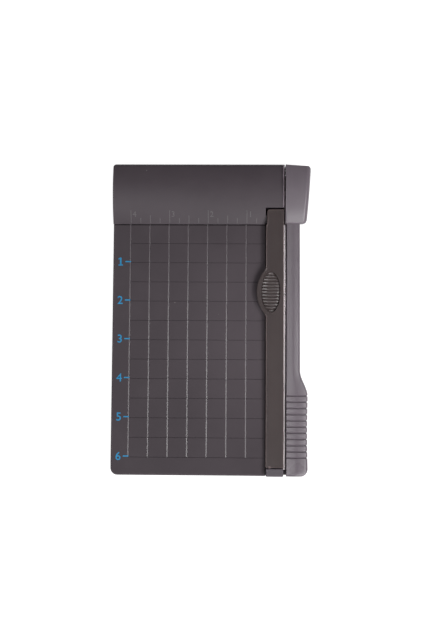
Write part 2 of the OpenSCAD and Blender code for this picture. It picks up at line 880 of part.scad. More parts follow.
// Plan of the arm and handle
module lever_plan() {
  polygon(rounded(
    [
      [x_lever, y_front],
      [x_handle, y_front],
      [x_handle, y_handle + flare_cut],
      [x_arm, y_handle + flare_len - flare_cut],
      [x_arm, y_fence + undercut + eps],
      [x_lever, y_fence + undercut + eps]
    ],
    [0, handle_corner_r, flare_r * flare_ease, flare_r * flare_ease, 0, 0]
  ));
}

// Plan of the hinge housing and its lip, with the right side drawn in by an inset
module housing_plan(inset) {
  polygon(rounded(
    [
      [x_lip, y_fence],
      [x_cut + housing_front - inset, y_fence],
      [x_cut + housing_reach - inset, y_back - housing_straight],
      [x_cut + housing_reach - inset, y_back - housing_rear_in - housing_rear_slant],
      [x_lip, y_back - housing_rear_in]
    ],
    [0, housing_corner_r, 0, housing_rear_r, 0]
  ));
}

// Side outline of the hinge housing: the head's arch, raised, with a round hub below the pivot
module housing_side() {
  difference() {
    intersection() {
      polygon(arch_outline(housing_proud, lever_z));
      union() {
        translate([y_pivot, z_pivot]) circle(r = hub_r);
        translate([y_fence, lever_z]) square([v_pivot, 2 * bed_top]);
        translate([y_pivot, z_pivot]) square([hub_r, 2 * bed_top]);
      }
    }
    // Undercut below the front edge
    polygon([
      [y_fence - eps, lever_z - eps],
      [y_fence - eps, bed_top + undercut_up],
      [y_fence, bed_top + undercut_up],
      [y_fence + undercut, lever_z],
      [y_fence + undercut, lever_z - eps]
    ]);
  }
}

// Hinge housing with a lip over the knife, clear of the eye and the stop pin
module housing() {
  intersection() {
    union() {
      along_x(x_lever, housing_reach) housing_side();
      along_x(x_lip, x_lever + lever_wall - x_lip) difference() {
        intersection() {
          housing_side();
          translate([y_fence - eps, bed_top + lip_up]) square([head_depth + 2 * eps, 2 * bed_top]);
        }
        translate([y_pivot, z_pivot]) circle(r = lip_r);
      }
    }
    linear_extrude(3 * bed_top) housing_plan(0);
  }
}

// Grooves across the top and the right side of the handle
module grip_cuts() {
  side = grip_depth * sqrt(2);
  for (i = [0 : grip_grooves - 1]) {
    y = y_front + grip_first + i * grip_pitch;
    translate([x_lever + handle_w / 2, y, lever_top]) rotate([45, 0, 0])
      cube([handle_w + 2 * eps, side, side], center = true);
    translate([x_handle, y, lever_z + lever_h / 2]) rotate([0, 0, 45])
      cube([side, side, lever_h + 2 * eps], center = true);
  }
}

// Channel under the arm, left solid round the blade's screws
module lever_channel() {
  difference() {
    box(
      [x_lever + lever_wall, y_front + solid_end, lever_z - eps],
      [x_arm - lever_wall, y_fence - lever_wall, lever_top - lever_wall]
    );
    for (y = blade_screw_spots)
      box([x_lever, y - boss_half, 0], [x_arm, y + boss_half, lever_top]);
  }
}

// Slot in the hub's left face for the stop pin
module stop_slot() {
  translate([x_lever - eps, y_pivot, z_pivot]) rotate([0, 90, 0])
    rotate([0, 0, 90 + stop_deg - stop_half_deg - stop_spare_deg])
      rotate_extrude(angle = open_deg + 2 * (stop_half_deg + stop_spare_deg))
        translate([stop_at_r - stop_r - room, 0])
          square([2 * (stop_r + room), stop_reach + room + eps]);
}

// Cutting lever: arm, grip and hinge housing in one moulding
module arm_lever() {
  color("#837c83") difference() {
    union() {
      translate([0, 0, lever_z]) linear_extrude(lever_h) lever_plan();
      housing();
    }
    grip_cuts();
    lever_channel();
    box(
      [x_lever + lever_wall, y_fence + undercut + lever_wall, lever_z - eps],
      [x_lever + housing_front - 2 * lever_wall, y_pivot - stop_at_r - 2 * stop_r - lever_wall, bed_top]
    );
    stop_slot();
    rod(x_lever - eps, y_pivot, z_pivot, bolt_r + run_gap, housing_reach);
    hex_rod(x_seat, y_pivot, z_pivot, hex_r + slip, housing_reach);
    rod(x_cap, y_pivot, z_pivot, cap_r + run_gap, housing_reach);
    for (y = blade_screw_spots)
      rod(x_lever - eps, y, blade_screw_z, screw_r + tight, screw_len - blade_t + spare + eps);
  }
}

// Moving blade on the lever's left face
module arm_blade() {
  x = x_cut + shear_gap;
  spine = bed_top - spine_drop;
  edge_front = lever_z + edge_lift;
  edge_back = edge_front + edge_rise;
  y_tip = y_front + blade_short;
  edge_deg = atan2(edge_rise, y_fence - y_tip);
  color("#c9c6c6") difference() {
    along_x(x, blade_t) {
      polygon([
        [y_tip, edge_front],
        [y_fence, edge_back],
        [y_pivot, z_pivot - blade_neck],
        [y_pivot, z_pivot + blade_neck],
        [y_fence, spine],
        [y_tip + blade_tip_cut, spine],
        [y_tip, spine - blade_tip_cut]
      ]);
      translate([y_pivot, z_pivot]) circle(r = blade_eye_r);
    }
    // Ground bevel along the cutting edge
    translate([0, y_tip, edge_front]) rotate([edge_deg, 0, 0])
      along_y(y_fence - y_tip - eps, y_fence - y_tip + eps)
        polygon([
          [x + edge_t, -eps],
          [x + edge_t, 0],
          [x + blade_t + edge_t, bevel_h],
          [x + blade_t + edge_t, -eps]
        ]);
    rod(x - eps, y_pivot, z_pivot, bolt_r + run_gap, blade_t + 2 * eps);
    for (y = blade_screw_spots) flat_screw_hole(x, y, blade_screw_z, blade_t, 1);
  }
}

// Countersunk screws of the moving blade
module arm_blade_screws() {
  color("#b9bbbd")
    for (y = blade_screw_spots) flat_screw(x_cut + shear_gap, y, blade_screw_z, blade_t, 1);
}

// Hexagon bolt that the lever turns on
module pivot_bolt() {
  x_tip = x_nut - nut_h - bolt_tip;
  color("#b9bbbd") {
    hex_rod(x_seat, y_pivot, z_pivot, hex_r, bolt_head_h);
    rod(x_tip, y_pivot, z_pivot, bolt_r, x_seat - x_tip);
  }
}

// Spring that draws the blades together
module pivot_spring() {
  color("#b9bbbd")
    translate([x_coil - coil_len, y_pivot, z_pivot]) rotate([0, 90, 0])
      coil(coil_r - coil_wire_r, coil_wire_r, coil_len, coil_turns);
}

// Washer between the spring and the nut
module pivot_washer() {
  color("#c9c6c6") difference() {
    rod(x_washer - washer_t, y_pivot, z_pivot, washer_r, washer_t);
    rod(x_washer - washer_t - eps, y_pivot, z_pivot, bolt_r + slip, washer_t + 2 * eps);
  }
}

// Nut that sets the spring's load
module pivot_nut() {
  color("#c9c6c6") difference() {
    hex_rod(x_nut - nut_h, y_pivot, z_pivot, hex_r, nut_h);
    rod(x_nut - nut_h - eps, y_pivot, z_pivot, bolt_r + tight, nut_h + 2 * eps);
  }
}

// Plug over the bolt's head, flush with the housing's slanted side
module pivot_cap() {
  color("#7b757b") intersection() {
    rod(x_cap, y_pivot, z_pivot, cap_r, housing_reach);
    linear_extrude(3 * bed_top) housing_plan(cap_set_back);
  }
}

base_tray();
head_cover();
head_screws();
bed_knife();
bed_knife_screws();
bar_bracket();
bracket_screw();
bar_pin();
bar_spring();
pivot_bush();
arm_stop_pin();
stop_bumper();
foot_front_left();
foot_front_right();
foot_rear_left();
foot_rear_right();
press_bar();
arm_lever();
arm_blade();
arm_blade_screws();
pivot_bolt();
pivot_spring();
pivot_washer();
pivot_nut();
pivot_cap();
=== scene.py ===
"""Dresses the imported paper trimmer: moulded plastic, ground steel, brass, rubber and printed scales."""

import json
import math

import bmesh
import bpy
from bmesh.types import BMEdge, BMFace, BMVert
from bpy.props import FloatProperty, FloatVectorProperty, IntProperty, PointerProperty
from mathutils import Matrix, Vector

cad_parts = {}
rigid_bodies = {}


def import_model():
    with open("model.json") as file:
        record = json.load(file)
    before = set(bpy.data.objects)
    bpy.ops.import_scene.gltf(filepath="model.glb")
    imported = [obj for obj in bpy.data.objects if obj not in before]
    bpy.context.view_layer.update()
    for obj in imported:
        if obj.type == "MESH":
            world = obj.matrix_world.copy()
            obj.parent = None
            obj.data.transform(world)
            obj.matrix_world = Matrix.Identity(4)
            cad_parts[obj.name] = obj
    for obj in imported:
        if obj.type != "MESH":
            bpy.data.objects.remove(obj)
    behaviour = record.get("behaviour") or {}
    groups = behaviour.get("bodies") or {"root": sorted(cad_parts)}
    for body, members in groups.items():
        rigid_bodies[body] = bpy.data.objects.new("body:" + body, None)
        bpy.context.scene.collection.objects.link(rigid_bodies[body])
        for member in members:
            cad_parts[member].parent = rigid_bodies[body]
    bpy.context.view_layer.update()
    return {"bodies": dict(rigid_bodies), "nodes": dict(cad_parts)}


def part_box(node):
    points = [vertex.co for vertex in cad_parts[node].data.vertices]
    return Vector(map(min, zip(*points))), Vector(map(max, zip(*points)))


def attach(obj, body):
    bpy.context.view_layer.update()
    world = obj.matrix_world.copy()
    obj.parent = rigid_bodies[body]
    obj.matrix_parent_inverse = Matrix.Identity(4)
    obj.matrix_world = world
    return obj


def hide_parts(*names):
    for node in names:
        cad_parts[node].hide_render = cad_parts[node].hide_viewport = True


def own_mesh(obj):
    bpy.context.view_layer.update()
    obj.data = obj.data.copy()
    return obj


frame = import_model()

bl_info = {
    "name": "Paper Trimmer",
    "version": (1, 0, 0),
    "blender": (4, 5, 0),
    "location": "3D View > Sidebar > Trimmer",
    "description": "Builds the moulded, ground and printed pieces of a lever paper trimmer",
    "category": "Object",
}

# Pieces are modelled in millimetres and brought to metres when they are finished.
MM = 0.001
WHITE = (1.0, 1.0, 1.0, 1.0)


def span(node):
    """Lowest and highest corner of a solid of the frame, in millimetres."""
    low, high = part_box(node)
    return low / MM, high / MM


def axis_place(x, low, high):
    """Place on a round part's axis, which runs along X."""
    return Vector((x, (low.y + high.y) / 2, (low.z + high.z) / 2))


HEAD_LOW, HEAD_HIGH = span("head_cover")
LEVER_LOW, LEVER_HIGH = span("arm_lever")
BRACKET_LOW, BRACKET_HIGH = span("bar_bracket")
KNIFE_HIGH = span("bed_knife")[1]
BAR_HIGH = span("press_bar")[1]
LIFT_LOW, LIFT_HIGH = span("bar_spring")
COIL_LOW, COIL_HIGH = span("pivot_spring")
CAP_LOW, CAP_HIGH = span("pivot_cap")
STOP_LOW, STOP_HIGH = span("arm_stop_pin")

BED_TOP = HEAD_LOW.z
FENCE = HEAD_LOW.y
BACK = HEAD_HIGH.y
FRONT = LEVER_LOW.y
ARM_X = span("arm_blade")[1].x
LEFT = HEAD_LOW.x
SHEAR_GAP = 0.05
CUT = KNIFE_HIGH.x + SHEAR_GAP
PIVOT = axis_place(CUT, CAP_LOW, CAP_HIGH)
BAR_PIN = axis_place(0, *span("bar_pin"))
STOP = axis_place(0, STOP_LOW, STOP_HIGH)
STOP_ROOM = 0.6
SPRING_ROOM = 0.1
UP = (0, 0, 1)
RIGHT = (1, 0, 0)
LIP_REACH = (STOP - PIVOT).yz.length + (STOP_HIGH.z - STOP_LOW.z) / 2 + STOP_ROOM


def linear(red, green, blue):
    """Screen colour from 0 to 255 as a linear one."""
    return tuple(
        c / 12.92 if c <= 0.04045 else ((c + 0.055) / 1.055) ** 2.4
        for c in (red / 255, green / 255, blue / 255)
    )


def length(name, millimetres, description):
    """Length property with its default given in millimetres."""
    return FloatProperty(
        name=name,
        description=description,
        default=millimetres * MM,
        min=0.0,
        precision=5,
        subtype="DISTANCE",
        unit="LENGTH",
    )


def colour(name, screen, description):
    """Colour property with its default given as a screen colour."""
    return FloatVectorProperty(
        name=name,
        description=description,
        default=linear(*screen),
        min=0.0,
        max=1.0,
        size=3,
        subtype="COLOR",
    )


def count(name, number, least, most, description):
    """Whole-number property."""
    return IntProperty(name=name, description=description, default=number, min=least, max=most)


class TrimmerSizes(bpy.types.PropertyGroup):
    """Sizes of the dressed pieces"""

    edge_round: length("Edge rounding", 0.5, "Rounding of the moulded outer edges")
    bed_round: length("Bed rounding", 1.1, "Rounding of the bed's upper rim")
    first_line: length("First line", 25.8, "Distance of the nearest scribed line from the cutting line")
    line_slope: length("Line slope", 0.75, "Width of the gentle left side of the scribed lines")
    line_depth: length("Line depth", 0.26, "Depth of the scribed lines along the bed")
    grid_pitch: length("Grid pitch", 12.7, "Spacing of the bed's lines, half an inch")
    numeral_height: length("Numeral height", 5.3, "Height of the printed numerals")
    numeral_from_cut: length("Numeral distance", 108.4, "Distance of the numerals from the cutting line")
    dash_from_cut: length("Dash distance", 105.35, "Distance of the dashes' left ends from the cutting line")
    dash_length: length("Dash length", 3.7, "Length of the printed dashes")
    dash_width: length("Dash width", 0.8, "Width of the printed dashes")
    print_shift: length("Print shift", 0.6, "Distance of the print behind the scribed inch lines")
    arch_rise: length("Arch rise", 6.2, "Rise of the head's arch above the fence")
    fence_height: length("Fence height", 1.2, "Height of the head's front edge above the bed")
    crown_back: length("Crown distance", 24.0, "Distance of the arch's crown behind the fence")
    mark_width: length("Mark width", 0.42, "Width of the ruler's raised marks")
    mark_height: length("Mark height", 0.1, "Height of the ruler's raised marks")
    bar_width: length("Bar width", 11.5, "Width of the press bar")
    bar_thickness: length("Bar thickness", 3.0, "Thickness of the press bar")
    bulge_out: length("Bulge reach", 6.0, "Reach of the bulge beyond the bar's left edge")
    bulge_radius: length("Bulge radius", 22.5, "Radius of the bulge")
    bulge_hollow: length("Bulge hollow", 4.0, "Radius where the bulge meets the bar")
    pad_ahead: length("Pad distance", 45.0, "Distance of the thumb dish from the fence")
    pad_length: length("Pad length", 26.4, "Length of the oval thumb dish")
    pad_width: length("Pad width", 12.2, "Width of the oval thumb dish")
    pad_depth: length("Pad depth", 1.4, "Depth of the oval thumb dish")
    pad_sag: length("Pad sag", 1.05, "Sag of the thumb dish's ribs between their ends")
    bead_height: length("Bead height", 0.17, "Height of the bead along the bar's left edge")
    bead_slope: length("Bead slope", 0.5, "Width of the bead's sloping inner side")
    tongue_in: length("Tongue inset", 0.8, "Inset of the bar's rear tongue from its left edge")
    knuckle_in: length("Knuckle inset", 2.6, "Distance of the bar's knuckle from its left edge")
    knuckle_width: length("Knuckle width", 1.4, "Width of the bar's knuckle")
    pad_ribs: count("Pad ribs", 13, 3, 21, "Ribs across the thumb dish")
    arm_width: length("Arm width", 8.5, "Width of the lever's arm")
    arm_crown: length("Arm crown", 0.72, "Rise of the arm's middle above its edges")
    arm_lean: length("Arm lean", 0.65, "Overhang of the arm's left edge above the blade at its front end")
    handle_width: length("Handle width", 13.4, "Width of the handle")
    handle_waist: length("Handle waist", 0.35, "Depth of the slight waist on the handle's right side")
    handle_length: length("Handle length", 51.5, "Length of the handle")
    handle_corner: length("Handle corner", 5.0, "Radius of the handle's front right corner")
    flare_length: length("Flare length", 16.5, "Length over which the arm widens into the handle")
    arm_height: length("Arm height", 12.5, "Height of the arm and handle")
    groove_first: length("First groove", 12.0, "Distance of the first grip groove from the handle's end")
    groove_pitch: length("Groove pitch", 3.98, "Spacing of the grip grooves")
    groove_half: length("Groove half width", 0.6, "Half the width of a grip groove")
    groove_depth: length("Groove depth", 0.75, "Depth of a grip groove")
    grooves: count("Grooves", 11, 3, 15, "Grip grooves on the handle")
    housing_front: length("Housing front", 13.6, "Reach of the housing's front end from the cutting line")
    housing_round: length("Housing rounding", 2.7, "Rounding of the housing's right rim")
    housing_proud: length("Housing height", 4.0, "Height of the housing above the head")
    rear_slant: length("Rear slant", 1.0, "Slant of the housing's rear wall over its width")


class TrimmerColours(bpy.types.PropertyGroup):
    """Colours of the dressed pieces"""

    bed: colour("Bed", (70, 64, 68), "Plastic of the bed")
    head: colour("Head", (69, 62, 67), "Plastic of the head")
    mark: colour("Ruler marks", (87, 82, 85), "Rubbed tops of the ruler's marks")
    bar: colour("Press bar", (61, 52, 52), "Plastic of the press bar")
    bracket: colour("Bracket", (73, 67, 73), "Plastic of the front bracket")
    lever: colour("Lever", (100, 92, 99), "Plastic of the lever")
    ink: colour("Print", (37, 130, 177), "Ink of the printed numerals")
    steel: colour("Knife steel", (250, 239, 242), "Ground steel of the fixed knife")
    # The blade's dark tone is painted shade, standing for the shade in the slot between knife and lever.
    blade: colour("Blade steel", (66, 61, 65), "Blued steel of the moving blade")
    fastener: colour("Fasteners", (176, 177, 180), "Plated screws, bolt and springs")
    brass: colour("Brass", (190, 150, 84), "Bush of the pivot")
    rubber: colour("Rubber", (36, 35, 36), "Feet and stop pad")
    floor: colour("Floor", (155, 155, 155), "Desk below the trimmer")


# Shaping


def only(geometry, kind):
    return [g for g in geometry if isinstance(g, kind)]


def new_mesh():
    """Empty mesh with face values that mark rounded edges and scribed lines; the finishes lighten them,
    partly as painted highlight.
    """
    bm = bmesh.new()
    bm.faces.layers.float.new("edge")
    bm.faces.layers.float.new("scribed")
    return bm


def as_mesh(bm, name):
    """Turns a working mesh into a lasting one."""
    mesh = bpy.data.meshes.new(name)
    bm.to_mesh(mesh)
    bm.free()
    return mesh


def add_object(name, data):
    made = bpy.data.objects.new(name, data)
    bpy.context.scene.collection.objects.link(made)
    return made


def move(bm, by, verts=None):
    bmesh.ops.translate(bm, vec=Vector(by), verts=bm.verts if verts is None else verts)


def rotate(bm, angle, axis, verts=None, centre=(0, 0, 0)):
    matrix = Matrix.Rotation(angle, 3, axis)
    bmesh.ops.rotate(bm, cent=centre, matrix=matrix, verts=bm.verts if verts is None else verts)


def face_out(bm):
    """Turns all faces outwards."""
    bmesh.ops.recalc_face_normals(bm, faces=bm.faces)
    bm.normal_update()


def add_box(bm, low, high):
    """Adds a box between two corners and returns its edges."""
    made = bmesh.ops.create_cube(bm, size=1)["verts"]
    bmesh.ops.scale(bm, vec=high - low, verts=made)
    move(bm, (low + high) / 2, made)
    bm.normal_update()
    return edges_of(made)


def edges_of(parts):
    """Edges of faces, or edges that end in vertices."""
    return list({e for p in parts for e in (p.edges if isinstance(p, BMFace) else p.link_edges)})


def verts_of(faces):
    return list({v for f in faces for v in f.verts})


def centre_of(face):
    return face.calc_center_median()


def widest(faces):
    return max(faces, key=lambda f: f.calc_area())


def middle(edge):
    return (edge.verts[0].co + edge.verts[1].co) / 2


def run(edge, axis):
    """How far an edge runs along an axis."""
    return abs(edge.verts[0].co[axis] - edge.verts[1].co[axis])


def facing(face, direction, least=0.9):
    return face.normal.dot(Vector(direction)) > least


def mark(bm, layer, faces, value):
    """Sets a face value."""
    key = bm.faces.layers.float[layer]
    for f in faces:
        f[key] = value


def cut_each(bm, faces, axis, places):
    """Cuts faces across one axis at several places and returns all the pieces."""
    normal = Vector((0, 0, 0))
    normal[axis] = 1
    for place in places:
        whole = list(faces) + edges_of(faces) + verts_of(faces)
        made = bmesh.ops.bisect_plane(bm, geom=whole, dist=1e-4, plane_co=normal * place, plane_no=normal)
        faces = only(made["geom"], BMFace)
    bm.normal_update()
    return faces


def pull(bm, faces, by):
    """Extrudes faces and moves the new ones."""
    made = bmesh.ops.extrude_face_region(bm, geom=faces)["geom"]
    move(bm, by, only(made, BMVert))
    bm.normal_update()
    return only(made, BMFace)


def sink_each(bm, faces, by):
    """Extrudes each face by itself and moves the new ones."""
    made = bmesh.ops.extrude_discrete_faces(bm, faces=faces)["faces"]
    move(bm, by, verts_of(made))


def round_edges(bm, edges, radius, segments=3):
    """Rounds edges and marks the new faces as an edge."""
    sizing = {"offset": radius, "offset_type": "OFFSET", "segments": segments, "profile": 0.5}
    options = {"affect": "EDGES", "material": -1, "clamp_overlap": True, "loop_slide": True}
    made = bmesh.ops.bevel(bm, geom=list(edges), **sizing, **options)["faces"]
    mark(bm, "edge", made, 1.0)
    bm.normal_update()
    return made


def sweep_round(bm, geometry, centre, axis, degrees, steps, climb=0.0):
    """Sweeps geometry around an axis, with a climb along Z at each step."""
    path = {"cent": centre, "axis": axis, "dvec": (0, 0, climb), "angle": math.radians(degrees)}
    bmesh.ops.spin(bm, geom=geometry, steps=steps, use_merge=False, use_duplicate=False, **path)


def swing(bm, point, centre, axis, degrees, steps):
    """Vertices on an arc that starts at a point."""
    start = bm.verts.new(point)
    before = len(bm.verts)
    sweep_round(bm, [start], centre, axis, degrees, steps)
    bm.verts.ensure_lookup_table()
    return [start] + bm.verts[before:]


def close_outline(bm, verts):
    """Face through vertices in order, without the edges that only joined an arc."""
    ring = []
    for v in verts:
        if not ring or (v.co - ring[-1].co).length > 1e-3:
            ring.append(v)
    return bm.faces.new(ring)


def open_face(bm, face, ring):
    """Opens a flat face at a closed ring of edges that lies in it."""
    border = list(face.edges)
    bmesh.ops.delete(bm, geom=[face], context="FACES_ONLY")
    bmesh.ops.triangle_fill(bm, use_beauty=True, use_dissolve=False, edges=border + ring)


def inset(bm, face, width):
    """Draws a face in by a width and leaves a frame around it."""
    bmesh.ops.inset_region(
        bm, faces=[face], thickness=width, depth=0, use_boundary=True, use_even_offset=True
    )


def sink_ring(bm, ring, x):
    """Walls from a ring of edges to a floor across X."""
    made = bmesh.ops.extrude_edge_only(bm, edges=ring)["geom"]
    for v in only(made, BMVert):
        v.co.x = x
    bmesh.ops.edgeloop_fill(bm, edges=only(made, BMEdge))


def rounding(distance, radius):
    """Drop of a rounded edge at a distance from its side."""
    if distance >= radius:
        return 0.0
    inside = radius - max(distance, 0.0)
    return radius - math.sqrt(radius * radius - inside * inside)


def solid_copy(node):
    """Solid of the frame in millimetres, with its triangles joined into whole faces."""
    bm = new_mesh()
    bm.from_mesh(frame["nodes"][node].data)
    bmesh.ops.scale(bm, vec=(1 / MM,) * 3, verts=bm.verts)
    bmesh.ops.remove_doubles(bm, verts=bm.verts, dist=0.003)
    flat = math.radians(0.3)
    bmesh.ops.dissolve_limit(bm, angle_limit=flat, verts=bm.verts, edges=bm.edges, delimit=set())
    bm.normal_update()
    return bm


def add_piece(bm, name, body, finish, stands_for=(), outward=True, crease=38):
    """Finished piece with its place in its mesh, riding on a body of the frame."""
    if outward:
        face_out(bm)
    bmesh.ops.scale(bm, vec=(MM,) * 3, verts=bm.verts)
    limit = math.radians(crease)
    for f in bm.faces:
        f.smooth = True
    for e in bm.edges:
        e.smooth = len(e.link_faces) == 2 and e.calc_face_angle(math.pi) < limit
    mesh = as_mesh(bm, name)
    mesh.materials.append(finish)
    piece = add_object(name, mesh)
    weighted = piece.modifiers.new("Even shading", "WEIGHTED_NORMAL")
    weighted.keep_sharp = True
    weighted.weight = 100
    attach(piece, body)
    if stands_for:
        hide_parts(*stands_for)
    return piece


# Finishes


class Nodes:
    """Shader nodes of one tree"""

    def __init__(self, tree):
        self.tree = tree

    def give(self, socket, value):
        """Gives a socket a value, or a link from another socket."""
        if isinstance(value, bpy.types.NodeSocket):
            self.tree.links.new(value, socket)
        else:
            socket.default_value = value

    def put(self, kind, values=None, **settings):
        """Adds a node, with settings and with values or links for its sockets."""
        made = self.tree.nodes.new("ShaderNode" + kind)
        for key, value in settings.items():
            setattr(made, key, value)
        for key, value in (values or {}).items():
            self.give(made.inputs[key], value)
        return made

    def maths(self, operation, a, b):
        return self.put("Math", {0: a, 1: b}, operation=operation).outputs[0]

    def times(self, a, b):
        return self.maths("MULTIPLY", a, b)

    def plus(self, a, b):
        return self.maths("ADD", a, b)

    def larger(self, a, b):
        return self.maths("MAXIMUM", a, b)

    def ramp(self, source, low, high):
        """Value that climbs from 0 to 1 between two levels."""
        values = {"Value": source, "From Min": low, "From Max": high}
        return self.put("MapRange", values, interpolation_type="SMOOTHSTEP").outputs["Result"]

    def mixed(self, share, a, b):
        """Blend of two colours."""
        first, second = (c if isinstance(c, bpy.types.NodeSocket) else (*c, 1.0) for c in (a, b))
        return self.put("Mix", {0: share, 6: first, 7: second}, data_type="RGBA").outputs[2]

    def noise(self, vector, scale, detail, distortion=0.0):
        values = {"Vector": vector, "Scale": scale, "Detail": detail, "Distortion": distortion}
        return self.put("TexNoise", values).outputs[0]

    def axes(self, vector):
        return self.put("SeparateXYZ", {"Vector": vector}).outputs

    def face_value(self, name):
        return self.put("Attribute", attribute_name=name, attribute_type="GEOMETRY").outputs["Fac"]


class Material(Nodes):
    """Material with a Principled shader and object coordinates"""

    def __init__(self, name):
        if name in bpy.data.materials:
            bpy.data.materials.remove(bpy.data.materials[name])
        self.made = bpy.data.materials.new(name)
        self.made.use_nodes = True
        super().__init__(self.made.node_tree)
        self.tree.nodes.clear()
        self.shader = self.put("BsdfPrincipled")
        self.out = self.put("OutputMaterial", {"Surface": self.shader.outputs["BSDF"]})
        self.place = self.put("TexCoord").outputs["Object"]

    def use(self, group, values=None):
        """Outputs of a shared group at the object's own places."""
        return self.put("Group", {"Vector": self.place, **(values or {})}, node_tree=group()).outputs

    def set(self, values):
        """Gives the shader's sockets values or links."""
        for key, value in values.items():
            self.give(self.shader.inputs[key], value)

    def finish(self, base, rough, shine, height, depth, distance):
        """Sets colour, roughness, shine and relief, and returns the material."""
        bump = self.put("Bump", {"Height": height, "Strength": depth, "Distance": distance})
        self.set({"Base Color": base, "Roughness": rough, "Specular IOR Level": shine})
        self.set({"Normal": bump.outputs["Normal"]})
        return self.made

    def on_top(self, axes):
        """Mask of what lies level with the bed."""
        return self.ramp(axes["Z"], (BED_TOP - 0.3) * MM, (BED_TOP - 0.1) * MM)


def shared(name, inputs, outputs):
    """Turns a function that fills a shader group into one that returns it, filled at its first use."""

    def wrap(fill):
        def group():
            if name not in bpy.data.node_groups:
                tree = bpy.data.node_groups.new(name, "ShaderNodeTree")
                for way, keys in (("INPUT", inputs), ("OUTPUT", outputs)):
                    for key in keys:
                        kind = "NodeSocketVector" if key == "Vector" else "NodeSocketFloat"
                        tree.interface.new_socket(name=key, in_out=way, socket_type=kind)
                given, result = tree.nodes.new("NodeGroupInput"), tree.nodes.new("NodeGroupOutput")
                fill(Nodes(tree), given.outputs, result.inputs)
            return bpy.data.node_groups[name]

        return group

    return wrap


@shared("Moulded grain", ("Vector", "Grain size"), ("Height", "Shade"))
def moulded_grain(n, given, result):
    """Spark-eroded grain of a mould and the slow drift of its plastic's shade."""
    scale = n.maths("DIVIDE", 1.0, given["Grain size"])
    fine = n.noise(given["Vector"], scale, 2.0)
    pits = n.put("TexVoronoi", {"Vector": given["Vector"], "Scale": scale}, feature="SMOOTH_F1")
    n.give(result["Height"], n.plus(fine, n.times(pits.outputs["Distance"], 0.5)))
    n.give(result["Shade"], n.ramp(n.noise(given["Vector"], 38.0, 4.0), 0.3, 0.7))


@shared("Edge rub", ("Vector", "Edge"), ("Mask",))
def edge_rub(n, given, result):
    """Broken lightening along rounded edges, partly wear from hands and paper and partly painted highlight.
    """
    patches = n.ramp(n.noise(given["Vector"], 130.0, 5.0), 0.38, 0.62)
    n.give(result["Mask"], n.times(n.plus(n.times(patches, 0.5), 0.5), given["Edge"]))


@shared("Handling film", ("Vector",), ("Smear", "Speck"))
def handling_film(n, given, result):
    """Soft smears from hands and a few specks of paper dust."""
    n.give(result["Smear"], n.ramp(n.noise(given["Vector"], 24.0, 3.0, 1.2), 0.48, 0.74))
    cells = n.put("TexVoronoi", {"Vector": given["Vector"], "Scale": 210.0, "Randomness": 1.0}).outputs
    near = n.ramp(cells["Distance"], 0.075, 0.045)
    picked = n.put("SeparateColor", {"Color": cells["Color"]}).outputs[0]
    n.give(result["Speck"], n.times(near, n.ramp(picked, 0.955, 0.965)))


@shared("Ground lines", ("Vector",), ("Height", "Shade"))
def ground_lines(n, given, result):
    """Fine parallel lines that a grinding wheel leaves in steel."""
    lines = n.noise(given["Vector"], 1.0, 3.0)
    n.give(result["Height"], lines)
    n.give(result["Shade"], n.ramp(lines, 0.35, 0.65))


def shifted(tone, factor):
    return tuple(min(1.0, c * factor) for c in tone)


def moulded_plastic(
    name, tone, grain=0.0004, depth=0.12, gloss=0.46, specular=0.4, edge_lightening=0.35, edge_light_factor=2.0,
    scribed=0.0, shadow_from=None, light_pool_at=None, dull=None,
):
    """Grained plastic with a drift of tone, lightened edges, smears and dust.

    Its edges are lightened partly as wear and partly as painted highlight. Painted shadow darkens the top
    past a place in X and Y, a painted pool of light makes it paler around a centre, and it has no shine left
    of a dull X.
    """
    m = Material(name)
    grains = m.use(moulded_grain, {"Grain size": grain})
    wear_and_highlight = m.use(edge_rub, {"Edge": m.face_value("edge")})["Mask"]
    film = m.use(handling_film)
    axes = m.axes(m.place)
    base = m.mixed(grains["Shade"], shifted(tone, 0.95), shifted(tone, 1.05))
    # Painted pool of light: the plastic is paler near a centre, as if a lamp stood close.
    if light_pool_at:
        spot = m.put("VectorMath", {0: m.place, 1: Vector(light_pool_at) * MM}, operation="DISTANCE")
        far, near = 90 * MM, 5 * MM
        light_pool = m.ramp(spot.outputs["Value"], far, near)
        base = m.mixed(m.times(light_pool, 0.28), base, shifted(tone, 2.0))
    # Rounded edges are lightened, partly as wear and partly as painted highlight where edges face the lamps.
    base = m.mixed(m.times(wear_and_highlight, edge_lightening), base, shifted(tone, edge_light_factor))
    # Painted highlight: faces marked scribed (right-facing sides of the bed's lines, crests of the thumb
    # dish's ribs) are lightened towards twice the tone; the coat over them is real gloss.
    if scribed:
        line = m.face_value("scribed")
        base = m.mixed(m.times(line, scribed), base, shifted(tone, 2.0))
        m.set({"Coat Weight": line, "Coat Roughness": 0.3})
    base = m.mixed(m.times(film["Smear"], 0.12), base, shifted(tone, 1.5))
    base = m.mixed(m.times(film["Speck"], 0.35), base, linear(168, 165, 162))
    # Painted shadow: the top goes nearly black past a place in X or Y, where the shadow beside a raised part
    # falls.
    if shadow_from:
        soft = 0.2
        corners = [m.ramp(axes[i], (shadow_from[i] - soft) * MM, (shadow_from[i] + soft) * MM) for i in range(2)]
        shadow_mask = m.times(m.larger(*corners), m.on_top(axes))
        base = m.mixed(m.times(shadow_mask, 0.9), base, shifted(tone, 0.1))
    shine = specular
    if dull:
        shine = m.times(m.ramp(axes["X"], dull * MM, (dull + 0.05) * MM), specular)
    rough = m.plus(m.times(grains["Shade"], 0.06), gloss - 0.03)
    rough = m.plus(rough, m.times(wear_and_highlight, -0.1))
    rough = m.plus(rough, m.times(film["Smear"], -0.05))
    return m.finish(base, rough, shine, grains["Height"], depth, 0.00012)


